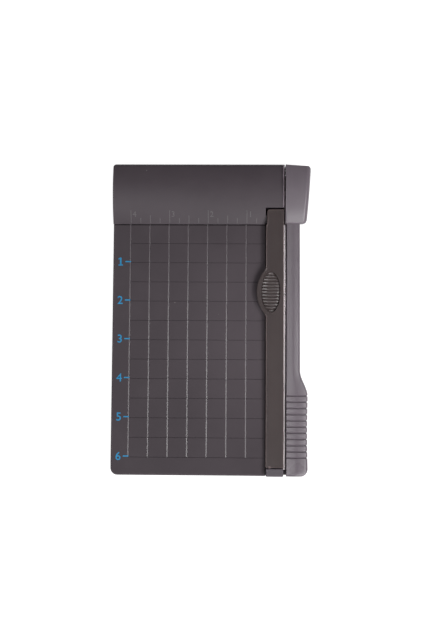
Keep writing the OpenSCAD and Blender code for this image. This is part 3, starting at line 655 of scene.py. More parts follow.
def ground_steel(name, tone, stretch, rough=0.32, shade_zone=None):
    """Steel with grinding lines along one axis.

    Painted shade darkens its top behind a place in Y and right of a leaning line.
    """
    m = Material(name)
    along = m.put("Mapping", {"Vector": m.place, "Scale": stretch}).outputs[0]
    lines = m.use(ground_lines, {"Vector": along})
    film = m.use(handling_film)
    base = m.mixed(lines["Shade"], shifted(tone, 0.9), shifted(tone, 1.06))
    base = m.mixed(m.times(film["Smear"], 0.25), base, shifted(tone, 0.8))
    polish = m.plus(m.times(lines["Shade"], 0.12), rough - 0.06)
    if shade_zone:
        behind, edge, skew = shade_zone
        start = edge - skew * behind
        axes = m.axes(m.place)
        back = m.ramp(axes["Y"], behind * MM, (behind + 1.5) * MM)
        side = m.plus(axes["X"], m.times(axes["Y"], -skew))
        right = m.ramp(side, start * MM, (start + 0.15) * MM)
        painted_shade = m.times(m.larger(back, right), m.on_top(axes))
        base = m.mixed(painted_shade, base, shifted(tone, 0.12))
        polish = m.plus(polish, m.times(painted_shade, 0.2))
    m.set({"Metallic": 1.0})
    return m.finish(base, polish, 0.5, lines["Height"], 0.15, 0.00005)


def rubber(name, tone):
    """Dull rubber with pores and a little dust."""
    m = Material(name)
    grains = m.use(moulded_grain, {"Grain size": 0.0007})
    film = m.use(handling_film)
    base = m.mixed(grains["Shade"], shifted(tone, 0.85), shifted(tone, 1.2))
    base = m.mixed(m.times(film["Smear"], 0.2), base, linear(92, 90, 88))
    rough = m.plus(m.times(grains["Shade"], 0.1), 0.75)
    return m.finish(base, rough, 0.25, grains["Height"], 0.35, 0.0002)


def printed_ink(name, tone):
    """Pad-printed ink, thin in places and a little rubbed."""
    m = Material(name)
    grains = m.use(moulded_grain, {"Grain size": 0.0005})
    thin = m.ramp(m.noise(m.place, 900.0, 4.0), 0.5, 0.75)
    base = m.mixed(grains["Shade"], shifted(tone, 0.92), shifted(tone, 1.1))
    base = m.mixed(m.times(thin, 0.3), base, shifted(tone, 0.55))
    rough = m.plus(m.times(thin, 0.1), 0.42)
    return m.finish(base, rough, 0.2, grains["Height"], 0.1, 0.0001)


# Operators


class Millimetres:
    """Sizes of the property group, with lengths in millimetres"""

    def __init__(self, sizes):
        self.sizes = sizes

    def __getattr__(self, name):
        value = getattr(self.sizes, name)
        return value / MM if isinstance(value, float) else value


class TrimmerOperator:
    """What every step of the trimmer shares"""

    bl_options = {"REGISTER", "UNDO"}

    def execute(self, context):
        self.make(Millimetres(context.scene.trimmer_sizes), context.scene.trimmer_colours)
        return {"FINISHED"}


class TRIMMER_OT_bed(TrimmerOperator, bpy.types.Operator):
    """Makes the ruled bed with its ribbed underside"""

    bl_idname = "trimmer.bed"
    bl_label = "Bed"

    def make(self, sizes, tones):
        bm = solid_copy("base_tray")
        low = min(v.co.z for v in bm.verts)

        def on_rim(e, level):
            if len(e.link_faces) != 2 or any(abs(v.co.z - level) > 0.01 for v in e.verts):
                return False
            walls = [f.normal for f in e.link_faces if abs(f.normal.z) < 0.1]
            return len(walls) == 1 and walls[0].x < 0.1 and self.outer(middle(e))

        self.lean_lines(bm, sizes)
        self.pivot_boss(bm)
        for level, radius, segments in ((BED_TOP, sizes.bed_round, 7), (low, sizes.edge_round, 6)):
            round_edges(bm, [e for e in bm.edges if on_rim(e, level)], radius, segments)
        # Painted shadow: a dark line along the press bar's left side and in front of the fence.
        bar_margin, fence_margin = 0.4, 0.6
        corners = (BAR_HIGH.x - sizes.bar_width - bar_margin, FENCE - fence_margin)
        # Painted pool of light on the bed, and a painted highlight on the right-facing sides of its lines.
        finish = moulded_plastic(
            "Bed plastic", tones.bed, gloss=0.44, specular=0.05, scribed=0.35,
            shadow_from=corners, light_pool_at=(30, -5, BED_TOP),
        )
        add_piece(
            bm, "bed_moulding", "base", finish, ["base_tray"], outward=False, crease=15
        )

    @staticmethod
    def lean_lines(bm, sizes):
        """Gives each scribed line a gentle side, which faces right or back, and a steep one."""
        pitch = sizes.grid_pitch
        first = CUT - sizes.first_line
        low = BED_TOP - 0.4
        last_column, last_row = 6.1, 12.1
        reach = 0.36
        column_shifts = (0.7 - sizes.line_slope, 0.35, 0.15)
        row_shifts = (0.15, 0.08, -0.17)

        def lean(v, axis, off, shifts):
            v.co[axis] += shifts[0 if off < -0.1 else 2 if off > 0.1 else 1]
            if v.co.z < BED_TOP - 0.1:
                v.co.z = BED_TOP - sizes.line_depth

        for v in bm.verts:
            if not low < v.co.z < BED_TOP + 0.01 or v.co.y > FENCE + 0.1:
                continue
            column, row = (first - v.co.x) / pitch, (FENCE - v.co.y) / pitch
            across, along = (round(column) - column) * pitch, (round(row) - row) * pitch
            if column > last_column or row > last_row:
                continue
            if column > -0.1 and abs(across) < reach:
                lean(v, 0, across, column_shifts)
            if row > 0.9 and column > -1.1 and abs(along) < reach:
                lean(v, 1, along, row_shifts)
        bm.normal_update()
        # Right-facing slopes of the lines are marked for a painted highlight in the bed's finish.
        slopes = [f for f in bm.faces if 0.2 < f.normal.x < 0.5 and centre_of(f).y < FENCE]
        mark(bm, "scribed", [f for f in slopes if low < centre_of(f).z < BED_TOP], 1.0)

    @staticmethod
    def pivot_boss(bm):
        """Quarter round below the stop pin, which closes the view past the lever's lip."""
        boss = new_mesh()
        sunk, thick = 1.5, 1.35
        lip_room, bolt_room = 0.3, 5.0
        centre = Vector((KNIFE_HIGH.x - sunk, PIVOT.y, PIVOT.z))
        outer, inner = (
            swing(boss, centre - Vector((0, 0, reach)), centre, RIGHT, 95, 16)
            for reach in (LIP_REACH - lip_room, bolt_room)
        )
        pull(boss, [close_outline(boss, outer + inner[::-1])], (thick, 0, 0))
        face_out(boss)
        merge_into(bm, boss)

    @staticmethod
    def outer(point):
        """True on the tray's left, front and rear sides."""
        near = 1.5
        return point.x < LEFT + near or point.y < FRONT + near or point.y > BACK - near


class TRIMMER_OT_bed_print(TrimmerOperator, bpy.types.Operator):
    """Prints the inch numerals and their dashes on the bed"""

    bl_idname = "trimmer.bed_print"
    bl_label = "Bed print"

    def make(self, sizes, tones):
        bm = new_mesh()
        thick = 0.04
        dash_round = 0.2
        inch = 2 * sizes.grid_pitch
        left = CUT - sizes.dash_from_cut
        for number in range(1, 7):
            y = FENCE - number * inch + sizes.print_shift
            tall = sizes.numeral_height
            numeral = footed_one(tall, thick) if number == 1 else figure(str(number), tall, thick)
            move(numeral, (CUT - sizes.numeral_from_cut, y, BED_TOP))
            merge_into(bm, numeral)
            low = Vector((left, y - sizes.dash_width / 2, BED_TOP - thick))
            dash = add_box(bm, low, low + Vector((sizes.dash_length, sizes.dash_width, 2 * thick)))
            round_edges(bm, [e for e in dash if run(e, 2) > thick], dash_round, 2)
        finish = printed_ink("Blue print", tones.ink)
        add_piece(bm, "bed_print", "base", finish)


def figure(text, height, thick, bold=0.015):
    """One numeral as a thin solid, centred on the origin."""
    curve = bpy.data.curves.new("numeral", "FONT")
    curve.body = text
    curve.size = 1.0
    curve.offset = bold * 0.5
    curve.extrude = 0.05
    curve.resolution_u = 6
    holder = add_object("numeral", curve)
    bpy.context.view_layer.update()
    flat = bpy.data.meshes.new_from_object(holder.evaluated_get(bpy.context.evaluated_depsgraph_get()))
    bm = new_mesh()
    bm.from_mesh(flat)
    bpy.data.objects.remove(holder)
    bpy.data.curves.remove(curve)
    bpy.data.meshes.remove(flat)
    bmesh.ops.remove_doubles(bm, verts=bm.verts, dist=1e-5)
    low = Vector(min(v.co[i] for v in bm.verts) for i in range(3))
    high = Vector(max(v.co[i] for v in bm.verts) for i in range(3))
    move(bm, -(low + high) / 2)
    scale = height / (high.y - low.y)
    bmesh.ops.scale(bm, vec=(scale, scale, 2 * thick / (high.z - low.z)), verts=bm.verts)
    return bm


def footed_one(height, thick):
    """Numeral one with a flag and a foot, as a thin solid centred on the origin."""
    bm = new_mesh()
    corners = (
        (-0.28, 0), (0.28, 0), (0.28, 0.14), (0.1, 0.14), (0.1, 1), (-0.07, 1),
        (-0.28, 0.88), (-0.28, 0.74), (-0.1, 0.8), (-0.1, 0.14), (-0.28, 0.14),
    )
    outline = bm.faces.new([bm.verts.new((x * height, (y - 0.5) * height, -thick)) for x, y in corners])
    pull(bm, [outline], (0, 0, 2 * thick))
    return bm


def merge_into(bm, other):
    """Adds another mesh and frees it."""
    carrier = as_mesh(other, "carrier")
    bm.from_mesh(carrier)
    bpy.data.meshes.remove(carrier)


class Arch:
    """Arch of the head's top, in millimetres behind the fence and above the bed"""

    def __init__(self, sizes):
        rise, back = sizes.arch_rise, sizes.crown_back
        self.back = back
        self.radius = (back * back + rise * rise) / (2 * rise)
        self.level = sizes.fence_height + rise - self.radius

    def tilt(self, behind):
        """Angle of the surface from level, in degrees, positive where it climbs to the back."""
        return math.degrees(math.asin((self.back - behind) / self.radius))

    def point(self, behind, lift=0.0):
        """Place on the surface, in Y and Z of the frame."""
        turn = math.radians(self.tilt(behind))
        reach = self.radius + lift
        return FENCE + self.back - reach * math.sin(turn), BED_TOP + self.level + reach * math.cos(turn)

    def centre(self, x, raised=0.0):
        return Vector((x, FENCE + self.back, BED_TOP + self.level + raised))


class TRIMMER_OT_head(TrimmerOperator, bpy.types.Operator):
    """Makes the arched ruler head"""

    bl_idname = "trimmer.head"
    bl_label = "Head"

    def make(self, sizes, tones):
        bm = solid_copy("head_cover")
        band = HEAD_HIGH.x - 0.9

        def roof():
            return [f for f in bm.faces if f.normal.z > 0.5 and centre_of(f).z > BED_TOP + 1]

        def on_rim(e):
            if len(e.link_faces) != 2 or min(v.co.z for v in e.verts) < BED_TOP + 0.2:
                return False
            rises = [f.normal.z for f in e.link_faces]
            return e.is_convex and max(rises) > 0.5 and min(abs(r) for r in rises) < 0.1

        cut_each(bm, roof(), 0, [band])
        made = round_edges(bm, [e for e in bm.edges if on_rim(e)], sizes.edge_round)
        # Rounded edges that face right keep the full edge mark, a painted highlight; the others keep only a
        # trace.
        mark(bm, "edge", [f for f in made if f.normal.x <= 0.2], 0.1)
        edge = bm.faces.layers.float["edge"]
        # A band along the roof's right end is marked too, a painted highlight on that end.
        for f in roof():
            if centre_of(f).x > band:
                f[edge] = max(f[edge], 0.9)
        self.seal(bm)
        # Strong edge lightening here is painted highlight.
        finish = moulded_plastic("Head plastic", tones.head, gloss=0.42, specular=0.25, edge_lightening=0.9, edge_light_factor=7.0)
        add_piece(
            bm, "head_moulding", "base", finish, ["head_cover"], outward=False, crease=30
        )

    @staticmethod
    def seal(bm):
        """Low rib on the head's right end, which closes the rear of the gap beside the lever."""
        front, top, proud = PIVOT.y + 7, BED_TOP + 2.4, 0.45
        wall = [f for f in bm.faces if f.normal.x > 0.99 and centre_of(f).x > HEAD_HIGH.x - 0.1]
        wall = cut_each(bm, wall, 1, [front])
        wall = cut_each(bm, [f for f in wall if centre_of(f).y > front], 2, [top])
        pull(bm, [f for f in wall if centre_of(f).z < top], (proud, 0, 0))


class TRIMMER_OT_head_ruler(TrimmerOperator, bpy.types.Operator):
    """Raises the ruler's marks and numerals on the head"""

    bl_idname = "trimmer.head_ruler"
    bl_label = "Head ruler"

    def make(self, sizes, tones):
        arch = Arch(sizes)
        bm = new_mesh()
        quarter = sizes.grid_pitch / 2
        inch_mark, half_mark, quarter_mark = 7.8, 4.6, 3.0
        tall, behind, beside = 3.6, 6.2, 2.3
        for step in range(2, 17):
            reach = inch_mark if step % 4 == 0 else half_mark if step % 2 == 0 else quarter_mark
            self.raise_mark(bm, arch, CUT - quarter * step, reach, sizes)
        for number in range(1, 5):
            numeral = figure(str(number), tall, sizes.mark_height, bold=0.0)
            rotate(numeral, math.radians(arch.tilt(behind)), "X")
            move(numeral, (CUT - 4 * quarter * number + beside, *arch.point(behind)))
            merge_into(bm, numeral)
        finish = moulded_plastic("Ruler marks", tones.mark, depth=0.05, edge_lightening=0.0)
        add_piece(bm, "head_ruler", "base", finish)

    @staticmethod
    def raise_mark(bm, arch, x, reach, sizes):
        """Raised mark that follows the arch from the fence."""
        half, tall = sizes.mark_width / 2, sizes.mark_height
        ahead = 0.7
        corners = ((-half, -tall), (half, -tall), (half, tall), (-half, tall))
        places = [(x + side, *arch.point(ahead, lift)) for side, lift in corners]
        section = bm.faces.new([bm.verts.new(p) for p in places])
        sweep = arch.tilt(ahead + reach) - arch.tilt(ahead)
        sweep_round(bm, [section], arch.centre(x), RIGHT, sweep, 6)


class TRIMMER_OT_press_bar(TrimmerOperator, bpy.types.Operator):
    """Makes the press bar with its ribbed thumb dish"""

    bl_idname = "trimmer.press_bar"
    bl_label = "Press bar"

    def make(self, sizes, tones):
        bm = new_mesh()
        width, thick = sizes.bar_width, sizes.bar_thickness
        right = BAR_HIGH.x
        left = right - width
        back, front = BAR_HIGH.y - 0.02, BRACKET_HIGH.y + 0.3
        rim_round, pad_shift = 0.35, 0.4
        level = BAR_PIN.z - thick / 2
        pad = FENCE - sizes.pad_ahead
        bottom = close_outline(bm, self.outline(bm, left, right, back, front, pad, level, sizes))
        pull(bm, [bottom], (0, 0, thick))
        face_out(bm)
        round_edges(bm, edges_of(f for f in bm.faces if facing(f, UP)), rim_round, 4)
        # The bulge loses the edge mark, so the painted highlight along the left edge stays on its straight
        # stretches.
        mark(bm, "edge", [f for f in bm.faces if centre_of(f).x < left - 0.6], 0.0)
        top = widest(f for f in bm.faces if facing(f, UP, 0.999))
        self.bead(bm, top, left, right, back, front, level + thick, sizes)
        middle_x = right - (width + sizes.bulge_out) / 2 + pad_shift
        self.dish(bm, [top], middle_x, pad, level + thick - sizes.bead_height, sizes)
        self.knuckle(bm, left + sizes.knuckle_in, front, thick, level, sizes)
        lift = math.atan2(LIFT_HIGH.z - level + SPRING_ROOM, (LIFT_LOW.y + LIFT_HIGH.y) / 2 - BAR_PIN.y)
        rotate(bm, lift, "X", centre=BAR_PIN)
        # Strong edge lightening paints highlights on the left edge and the knuckle; the rib crests get a
        # painted highlight.
        finish = moulded_plastic(
            "Bar plastic", tones.bar, gloss=0.38, specular=0.3, edge_lightening=0.8, edge_light_factor=4.4, scribed=0.25
        )
        add_piece(bm, "press_bar_moulding", "press_bar", finish, ["press_bar"], crease=14)

    @staticmethod
    def outline(bm, left, right, back, front, pad, level, sizes):
        """Plan of the bar with its rear tongue and its bulge."""
        bulge, hollow = sizes.bulge_radius, sizes.bulge_hollow
        bulge_x = left - sizes.bulge_out + bulge
        hollow_x = left - hollow
        reach = math.sqrt((bulge + hollow) ** 2 - (bulge_x - hollow_x) ** 2)
        turn = math.degrees(math.atan2(reach, bulge_x - hollow_x))
        corner, chamfer, behind = 1.6, 0.3, 0.4
        narrow = sizes.tongue_in
        tongue, ahead = left + narrow, FENCE - behind
        ring = [bm.verts.new((right, front, level)), bm.verts.new((right, back, level))]
        ring += swing(bm, (tongue + corner, back, level), (tongue + corner, back - corner, level), UP, 90, 6)
        ring += [bm.verts.new((tongue, ahead, level)), bm.verts.new((left, ahead - narrow, level))]
        ring += swing(bm, (left, pad + reach, level), (hollow_x, pad + reach, level), UP, -turn, 6)
        angle = math.radians(180 - turn + 1)
        start = (bulge_x + bulge * math.cos(angle), pad + bulge * math.sin(angle), level)
        ring += swing(bm, start, (bulge_x, pad, level), UP, 2 * turn - 2, 24)
        angle = math.radians(turn)
        start = (hollow_x + hollow * math.cos(angle), pad - reach + hollow * math.sin(angle), level)
        ring += swing(bm, start, (hollow_x, pad - reach, level), UP, -turn, 6)
        ring += [bm.verts.new((left, front + chamfer, level)), bm.verts.new((left + chamfer, front, level))]
        return ring

    @staticmethod
    def knuckle(bm, x, front, thick, level, sizes):
        """Narrow eye at the front end that turns on the pin."""
        wide, overlap = sizes.knuckle_width, 1.0
        low = Vector((x - wide / 2, BAR_PIN.y - thick / 2, level))
        eye = add_box(bm, low, Vector((x + wide / 2, front + overlap, level + thick)))
        nose = [e for e in eye if middle(e).y < low.y + 0.1 and run(e, 0) > 0.5]
        round_edges(bm, nose, thick / 2 - 0.02, 6)
        # The knuckle's top is marked for a painted highlight.
        ahead = [f for f in bm.faces if centre_of(f).y < front]
        mark(bm, "edge", [f for f in ahead if abs(centre_of(f).x - x) < wide], 1.0)

    @staticmethod
    def bead(bm, top, left, right, back, front, level, sizes):
        """Low bead along the left edge, left when the rest of the top is sunk."""
        crest = 0.05
        rear_end, front_end, near_left, near_right = 1.3, 0.6, 1.0, 1.6
        inset(bm, top, crest)
        inset(bm, top, sizes.bead_slope)
        inner = set(top.verts)
        for v in bm.verts:
            plain = v.co.y > back - rear_end or v.co.y < front + front_end
            if v in inner or plain or not left - near_left < v.co.x < right - near_right:
                v.co.z = min(v.co.z, level - sizes.bead_height)

    @staticmethod
    def rib_top(across, sizes):
        """Level of a rib along its length, from -1 at its left end to 1 at its right end."""
        depth, sag = sizes.pad_depth, sizes.pad_sag
        places = (-1.0, -0.93, -0.4, -0.1, 0.1, 0.62, 0.92, 1.0)
        levels = (depth, 0.05, 0.81 * sag, 0.96 * sag, sag, 0.72 * sag, 1.15 * sag, depth)
        last = next((i for i in range(1, 8) if across <= places[i]), 7)
        share = (across - places[last - 1]) / (places[last] - places[last - 1])
        return levels[last - 1] + (levels[last] - levels[last - 1]) * share

    def dish(self, bm, faces, x, y, level, sizes):
        """Sunk oval with hollowed cross ribs."""
        half_x, half_y = sizes.pad_width / 2, sizes.pad_length / 2
        pitch = 2 * half_y / sizes.pad_ribs
        side_wall, end_wall = 0.07, 0.12
        rib_share, rib_slope = 0.55, 0.75
        columns, rows = 48, 10 * sizes.pad_ribs
        faces = cut_each(bm, faces, 1, (y - half_y, y + half_y))
        faces = [f for f in faces if abs(centre_of(f).y - y) < half_y]
        faces = cut_each(bm, faces, 0, (x - half_x, x + half_x))
        faces = [f for f in faces if abs(centre_of(f).x - x) < half_x]
        faces = cut_each(bm, faces, 1, [y - half_y + 2 * half_y * i / rows for i in range(1, rows)])
        faces = cut_each(bm, faces, 0, [x - half_x + 2 * half_x * i / columns for i in range(1, columns)])

        def wave(place):
            return math.cos(2 * math.pi * (place.y - y) / pitch)

        def inside(place):
            return ((place.x - x) / half_x) ** 2 + ((place.y - y) / half_y) ** 2 < 0.96

        # Rib crests are marked for a painted highlight in the bar's finish.
        crests = [f for f in faces if inside(centre_of(f)) and wave(centre_of(f)) > 0.0]
        mark(bm, "scribed", crests, 1.0)
        for v in verts_of(faces):
            chord = 1 - ((v.co.y - y) / half_y) ** 2
            if chord <= 0.001:
                continue
            across = (v.co.x - x) / (half_x * math.sqrt(chord))
            if abs(across) >= 1:
                continue
            floor = sizes.pad_depth * min(1.0, (1 - abs(across)) / side_wall, chord / end_wall)
            rib = min(max((wave(v.co) + rib_share) / rib_slope, 0.0), 1.0)
            v.co.z = level - floor + max(floor - self.rib_top(across, sizes), 0.0) * rib


class TRIMMER_OT_bracket(TrimmerOperator, bpy.types.Operator):
    """Makes the block that holds the press bar's pin"""

    bl_idname = "trimmer.bracket"
    bl_label = "Front bracket"

    def make(self, sizes, tones):
        bm = new_mesh()
        add_box(bm, BRACKET_LOW, BRACKET_HIGH)
        pin_room, side_room = 1.8, 0.3
        corner_round, top_round = 0.9, 1.0
        mid = BRACKET_LOW.x + sizes.knuckle_in
        half = sizes.knuckle_width / 2 + side_room
        rear = [f for f in bm.faces if facing(f, (0, 1, 0))]
        rear = cut_each(bm, rear, 0, (mid - half, mid + half))
        rear = [f for f in rear if abs(centre_of(f).x - mid) < half]
        rear = cut_each(bm, rear, 2, (BAR_PIN.z - pin_room, BAR_PIN.z + pin_room))
        slot = [f for f in rear if abs(centre_of(f).z - BAR_PIN.z) < pin_room]
        pull(bm, slot, (0, BAR_PIN.y - pin_room - BRACKET_HIGH.y, 0))
        front = [e for e in bm.edges if abs(middle(e).y - BRACKET_LOW.y) < 0.01]
        round_edges(bm, [e for e in front if run(e, 2) > 5], corner_round, 4)
        tops = [f for f in bm.faces if facing(f, UP) and centre_of(f).z > BRACKET_HIGH.z - 0.1]
        round_edges(bm, edges_of(tops), top_round, 4)
        finish = moulded_plastic("Bracket plastic", tones.bracket)
        add_piece(bm, "bracket_block", "base", finish, ["bar_bracket"])


class TRIMMER_OT_lever(TrimmerOperator, bpy.types.Operator):
    """Makes the lever: crowned arm, grooved handle and hinge housing"""

    bl_idname = "trimmer.lever"
    bl_label = "Lever"

    def make(self, sizes, tones):
        bm = self.arm(sizes)
        merge_into(bm, self.housing(sizes))
        left = LEVER_LOW.x + 0.05
        finish = moulded_plastic("Lever plastic", tones.lever, gloss=0.32, specular=0.5, dull=left)
        add_piece(bm, "lever_moulding", "arm", finish, ["arm_lever"], crease=40)

    @staticmethod
    def groove_drop(y, sizes):
        """Depth of the grip grooves at a place along the handle."""
        pitch, half = sizes.groove_pitch, sizes.groove_half
        first = FRONT + sizes.groove_first
        nearest = min(max(round((y - first) / pitch), 0), sizes.grooves - 1)
        off = abs(y - first - nearest * pitch) / half
        return sizes.groove_depth * (1 - off) ** 1.3 if off < 1 else 0.0

    @staticmethod
    def left_side(y, sizes):
        """Left edge of the arm, which overhangs the blade more and more to the front."""
        ahead = min(max((FENCE - y) / (FENCE - FRONT), 0.0), 1.0)
        return ARM_X - sizes.arm_lean * (0.4 + 0.6 * ahead)

    @staticmethod
    def right_side(y, sizes):
        """Right side of the arm, flare and handle."""
        arm, handle = ARM_X + sizes.arm_width, ARM_X + sizes.handle_width
        corner = sizes.handle_corner
        ahead = y - FRONT
        past = (ahead - sizes.handle_length) / sizes.flare_length
        if past > 0:
            s = min(past, 1.0)
            return handle + (arm - handle) * s * s * (3 - 2 * s)
        inward = math.sin(math.pi * min(max(ahead / sizes.handle_length, 0.0), 1.0))
        return handle - sizes.handle_waist * inward - rounding(ahead, corner)

    def rows(self, sizes):
        """Places along the lever where its surface bends."""
        corner = sizes.handle_corner
        places = [FRONT + corner * (1 - math.cos(math.radians(a))) for a in range(0, 91, 10)]
        places += [FRONT + d for d in (0.03, 0.15, 0.4, 0.75, 1.15, 1.6)]
        half = sizes.groove_half
        for i in range(sizes.grooves):
            y = FRONT + sizes.groove_first + i * sizes.groove_pitch
            places += [y + half * k for k in (-1.25, -1, -0.7, -0.35, -0.12, 0.12, 0.35, 0.7, 1, 1.25)]
        start = FRONT + sizes.handle_length
        places += [start + sizes.flare_length * i / 16 for i in range(17)]
        overlap = 3.4
        end, flare_end = FENCE + overlap, start + sizes.flare_length
        places += [flare_end + (end - flare_end) * i / 10 for i in range(1, 11)]
        tidy = []
        for y in sorted(places):
            if not tidy or y - tidy[-1] > 0.02:
                tidy.append(y)
        return tidy

    def arm(self, sizes):
        """Crowned top sheet with side walls and a channel below."""
        bm = new_mesh()
        left_round, right_round, front_round = 0.45, 1.3, 1.6
        ridge, full = 0.2, 0.82
        above_bed, below_bed = 0.6, 1.5
        left = [(0, left_round * k) for k in (0, 0.08, 0.4, 1)]
        right = [(1, -right_round * k) for k in (1, 0.5, 0.18, 0.03, 0)]
        columns = left + [(s, 0) for s in (0.2, 0.32, 0.4, 0.45, 0.5, 0.55, 0.6, 0.68, 0.78)] + right
        rows = self.rows(sizes)
        segments = {"x_segments": len(columns) - 1, "y_segments": len(rows) - 1}
        made = bmesh.ops.create_grid(bm, size=1, **segments)["verts"]
        made.sort(key=lambda v: (round(v.co.y, 4), round(v.co.x, 4)))
        top = LEVER_LOW.z + sizes.arm_height
        for index, v in enumerate(made):
            row, column = divmod(index, len(columns))
            y = rows[row]
            groove = self.groove_drop(y, sizes)
            near, far = self.left_side(y, sizes), self.right_side(y, sizes) - groove
            share, shift = columns[column]
            x = near + share * (far - near) + shift
            along = (x - near) / (far - near)
            drop = max(
                rounding(x - near, left_round),
                rounding(far - x, right_round),
                rounding(y - FRONT, front_round),
            )
            crown = sizes.arm_crown * (math.hypot(2 * along - 1, ridge) - ridge) / full
            v.co = (x, y, top - crown - groove - drop)

        def from_side(at):
            return min(at.x - self.left_side(at.y, sizes), self.right_side(at.y, sizes) - at.x)

        mark(bm, "edge", [f for f in bm.faces if from_side(centre_of(f)) < 0.7], 1.0)
        rim = [e for e in bm.edges if len(e.link_faces) == 1]
        for level, near in (
            (BED_TOP + above_bed, LEVER_LOW.x),
            (BED_TOP - below_bed, ARM_X),
            (LEVER_LOW.z, ARM_X),
        ):
            walls = bmesh.ops.extrude_edge_only(bm, edges=rim)["geom"]
            rim = only(walls, BMEdge)
            for v in only(walls, BMVert):
                v.co = (max(v.co.x, near), v.co.y, level)
        floor = bmesh.ops.edgeloop_fill(bm, edges=rim)["faces"]
        face_out(bm)
        self.channel(bm, floor, top, sizes)
        return bm

    @staticmethod
    def channel(bm, floor, top, sizes):
        """Hollows under the arm between the blade's screws."""
        wall, block, screw_radius = 2.2, 3.0, 2.1
        near, far = ARM_X + wall, ARM_X + sizes.arm_width - wall
        screws = span("arm_blade_screws")
        first, last = screws[0].y + screw_radius, screws[1].y - screw_radius
        centres = [first + (last - first) * i / 2 for i in range(3)]
        ends = [FRONT + 16] + [c + s for c in centres for s in (-block, block)] + [FENCE - wall]
        faces = cut_each(bm, floor, 0, (near, far))
        faces = [f for f in faces if near < centre_of(f).x < far]
        faces = cut_each(bm, faces, 1, sorted(ends))
        pairs = list(zip(ends[0::2], ends[1::2]))
        hollow = [f for f in faces if any(a < centre_of(f).y < b for a, b in pairs)]
        sink_each(bm, hollow, (0, 0, top - wall - LEVER_LOW.z))

    @staticmethod
    def around(distance, degrees):
        """Place around the pivot in the plane of the hub's left face."""
        turn = math.radians(degrees)
        return ARM_X, PIVOT.y + distance * math.cos(turn), PIVOT.z + distance * math.sin(turn)

    def housing(self, sizes):
        """Raised end of the lever over the pivot, with its lip, bolt recess and stop slot."""
        bm = new_mesh()
        arch = Arch(sizes)
        proud = sizes.housing_proud
        left, low = ARM_X, LEVER_LOW.z
        hub, reach = BACK - PIVOT.y, LEVER_HIGH.y - PIVOT.y
        centre = (left, PIVOT.y, PIVOT.z)
        lip, tail, tail_turn = BED_TOP + 1.8, PIVOT.z - 3.2, 15
        foot_in, foot_rise = 2.4, 1.2
        lip_turn = math.degrees(math.asin((lip - PIVOT.z) / LIP_REACH))
        start = -math.degrees(math.acos(reach / hub))
        end = math.degrees(math.asin((low - PIVOT.z) / hub))
        foot = [
            bm.verts.new((left, FENCE + foot_in, low)),
            bm.verts.new((left, FENCE, BED_TOP + foot_rise)),
        ]
        nose = bm.verts.new((left, FENCE, lip))
        y, z = arch.point(0)
        sweep = arch.tilt(LEVER_HIGH.y - FENCE) - arch.tilt(0)
        crown = swing(bm, (left, y, z + proud), arch.centre(left, proud), RIGHT, sweep, 12)
        crown.append(bm.verts.new((left, LEVER_HIGH.y, tail)))
        heel = swing(bm, self.around(hub, start), centre, RIGHT, end - start, 3)
        lip_sweep = 180 - lip_turn + tail_turn
        inner = swing(bm, self.around(LIP_REACH, -tail_turn), centre, RIGHT, lip_sweep, 26)
        upper = close_outline(bm, [nose] + crown + inner)
        lower = close_outline(bm, foot + [nose] + inner[::-1] + [crown[-1]] + heel)
        outer = pull(bm, [upper, lower], (1, 0, 0))
        front_x = CUT + sizes.housing_front
        slope = (LEVER_HIGH.x - front_x) / (BACK - FENCE)
        for v in verts_of(outer):
            v.co.x = front_x + slope * (v.co.y - FENCE)
            v.co.y -= sizes.rear_slant * max(v.co.y - PIVOT.y, 0.0) / reach
        bmesh.ops.dissolve_edges(bm, edges=list(set(outer[0].edges) & set(outer[1].edges)), use_verts=True)
        face_out(bm)
        side = widest(f for f in bm.faces if f.normal.x > 0.9)
        rim = [e for e in side.edges if middle(e).z > low + 0.3]
        # The right rim is marked for a painted highlight along it.
        mark(bm, "edge", round_edges(bm, rim, sizes.housing_round, 6), 0.4)
        left_faces = [f for f in bm.faces if f.normal.x < -0.9]
        upper = max(left_faces, key=lambda f: centre_of(f).z)
        pull(bm, [upper], (LEVER_LOW.x - left, 0, 0))

        def on_ridge(e):
            return (
                all(abs(v.co.x - LEVER_LOW.x) < 0.01 for v in e.verts)
                and any(f.normal.z > 0.2 or f.normal.y > 0.6 for f in e.link_faces)
                and (middle(e) - Vector(centre)).yz.length > LIP_REACH + 0.3
            )

        def at_end(e):
            at = middle(e)
            near = at.y < FENCE + 0.5 or at.y > LEVER_HIGH.y - 1.5
            return near and at.z > lip + 1 and run(e, 0) > 4 and e.calc_face_angle(0) > 0.8

        paired = [e for e in bm.edges if len(e.link_faces) == 2]
        ridge, lead = [e for e in paired if on_ridge(e)], [e for e in paired if at_end(e)]
        ridge_round = 0.6
        round_edges(bm, ridge + lead, ridge_round, 3)
        self.bolt_recess(bm, front_x, slope)
        self.stop_slot(bm)
        return bm

    @staticmethod
    def bolt_recess(bm, front_x, slope):
        """Round recess that the cap closes."""
        outer = widest(f for f in bm.faces if f.normal.x > 0.9)
        side_room, floor_room = 0.1, 0.2
        radius = (CAP_HIGH.z - CAP_LOW.z) / 2 + side_room
        circle = bmesh.ops.create_circle(bm, cap_ends=False, segments=48, radius=radius)["verts"]
        rotate(bm, math.pi / 2, "Y", circle)
        move(bm, (0, PIVOT.y, PIVOT.z), circle)
        for v in circle:
            v.co.x = front_x + slope * (v.co.y - FENCE)
        ring = edges_of(circle)
        open_face(bm, outer, ring)
        sink_ring(bm, ring, CAP_LOW.x - floor_room)

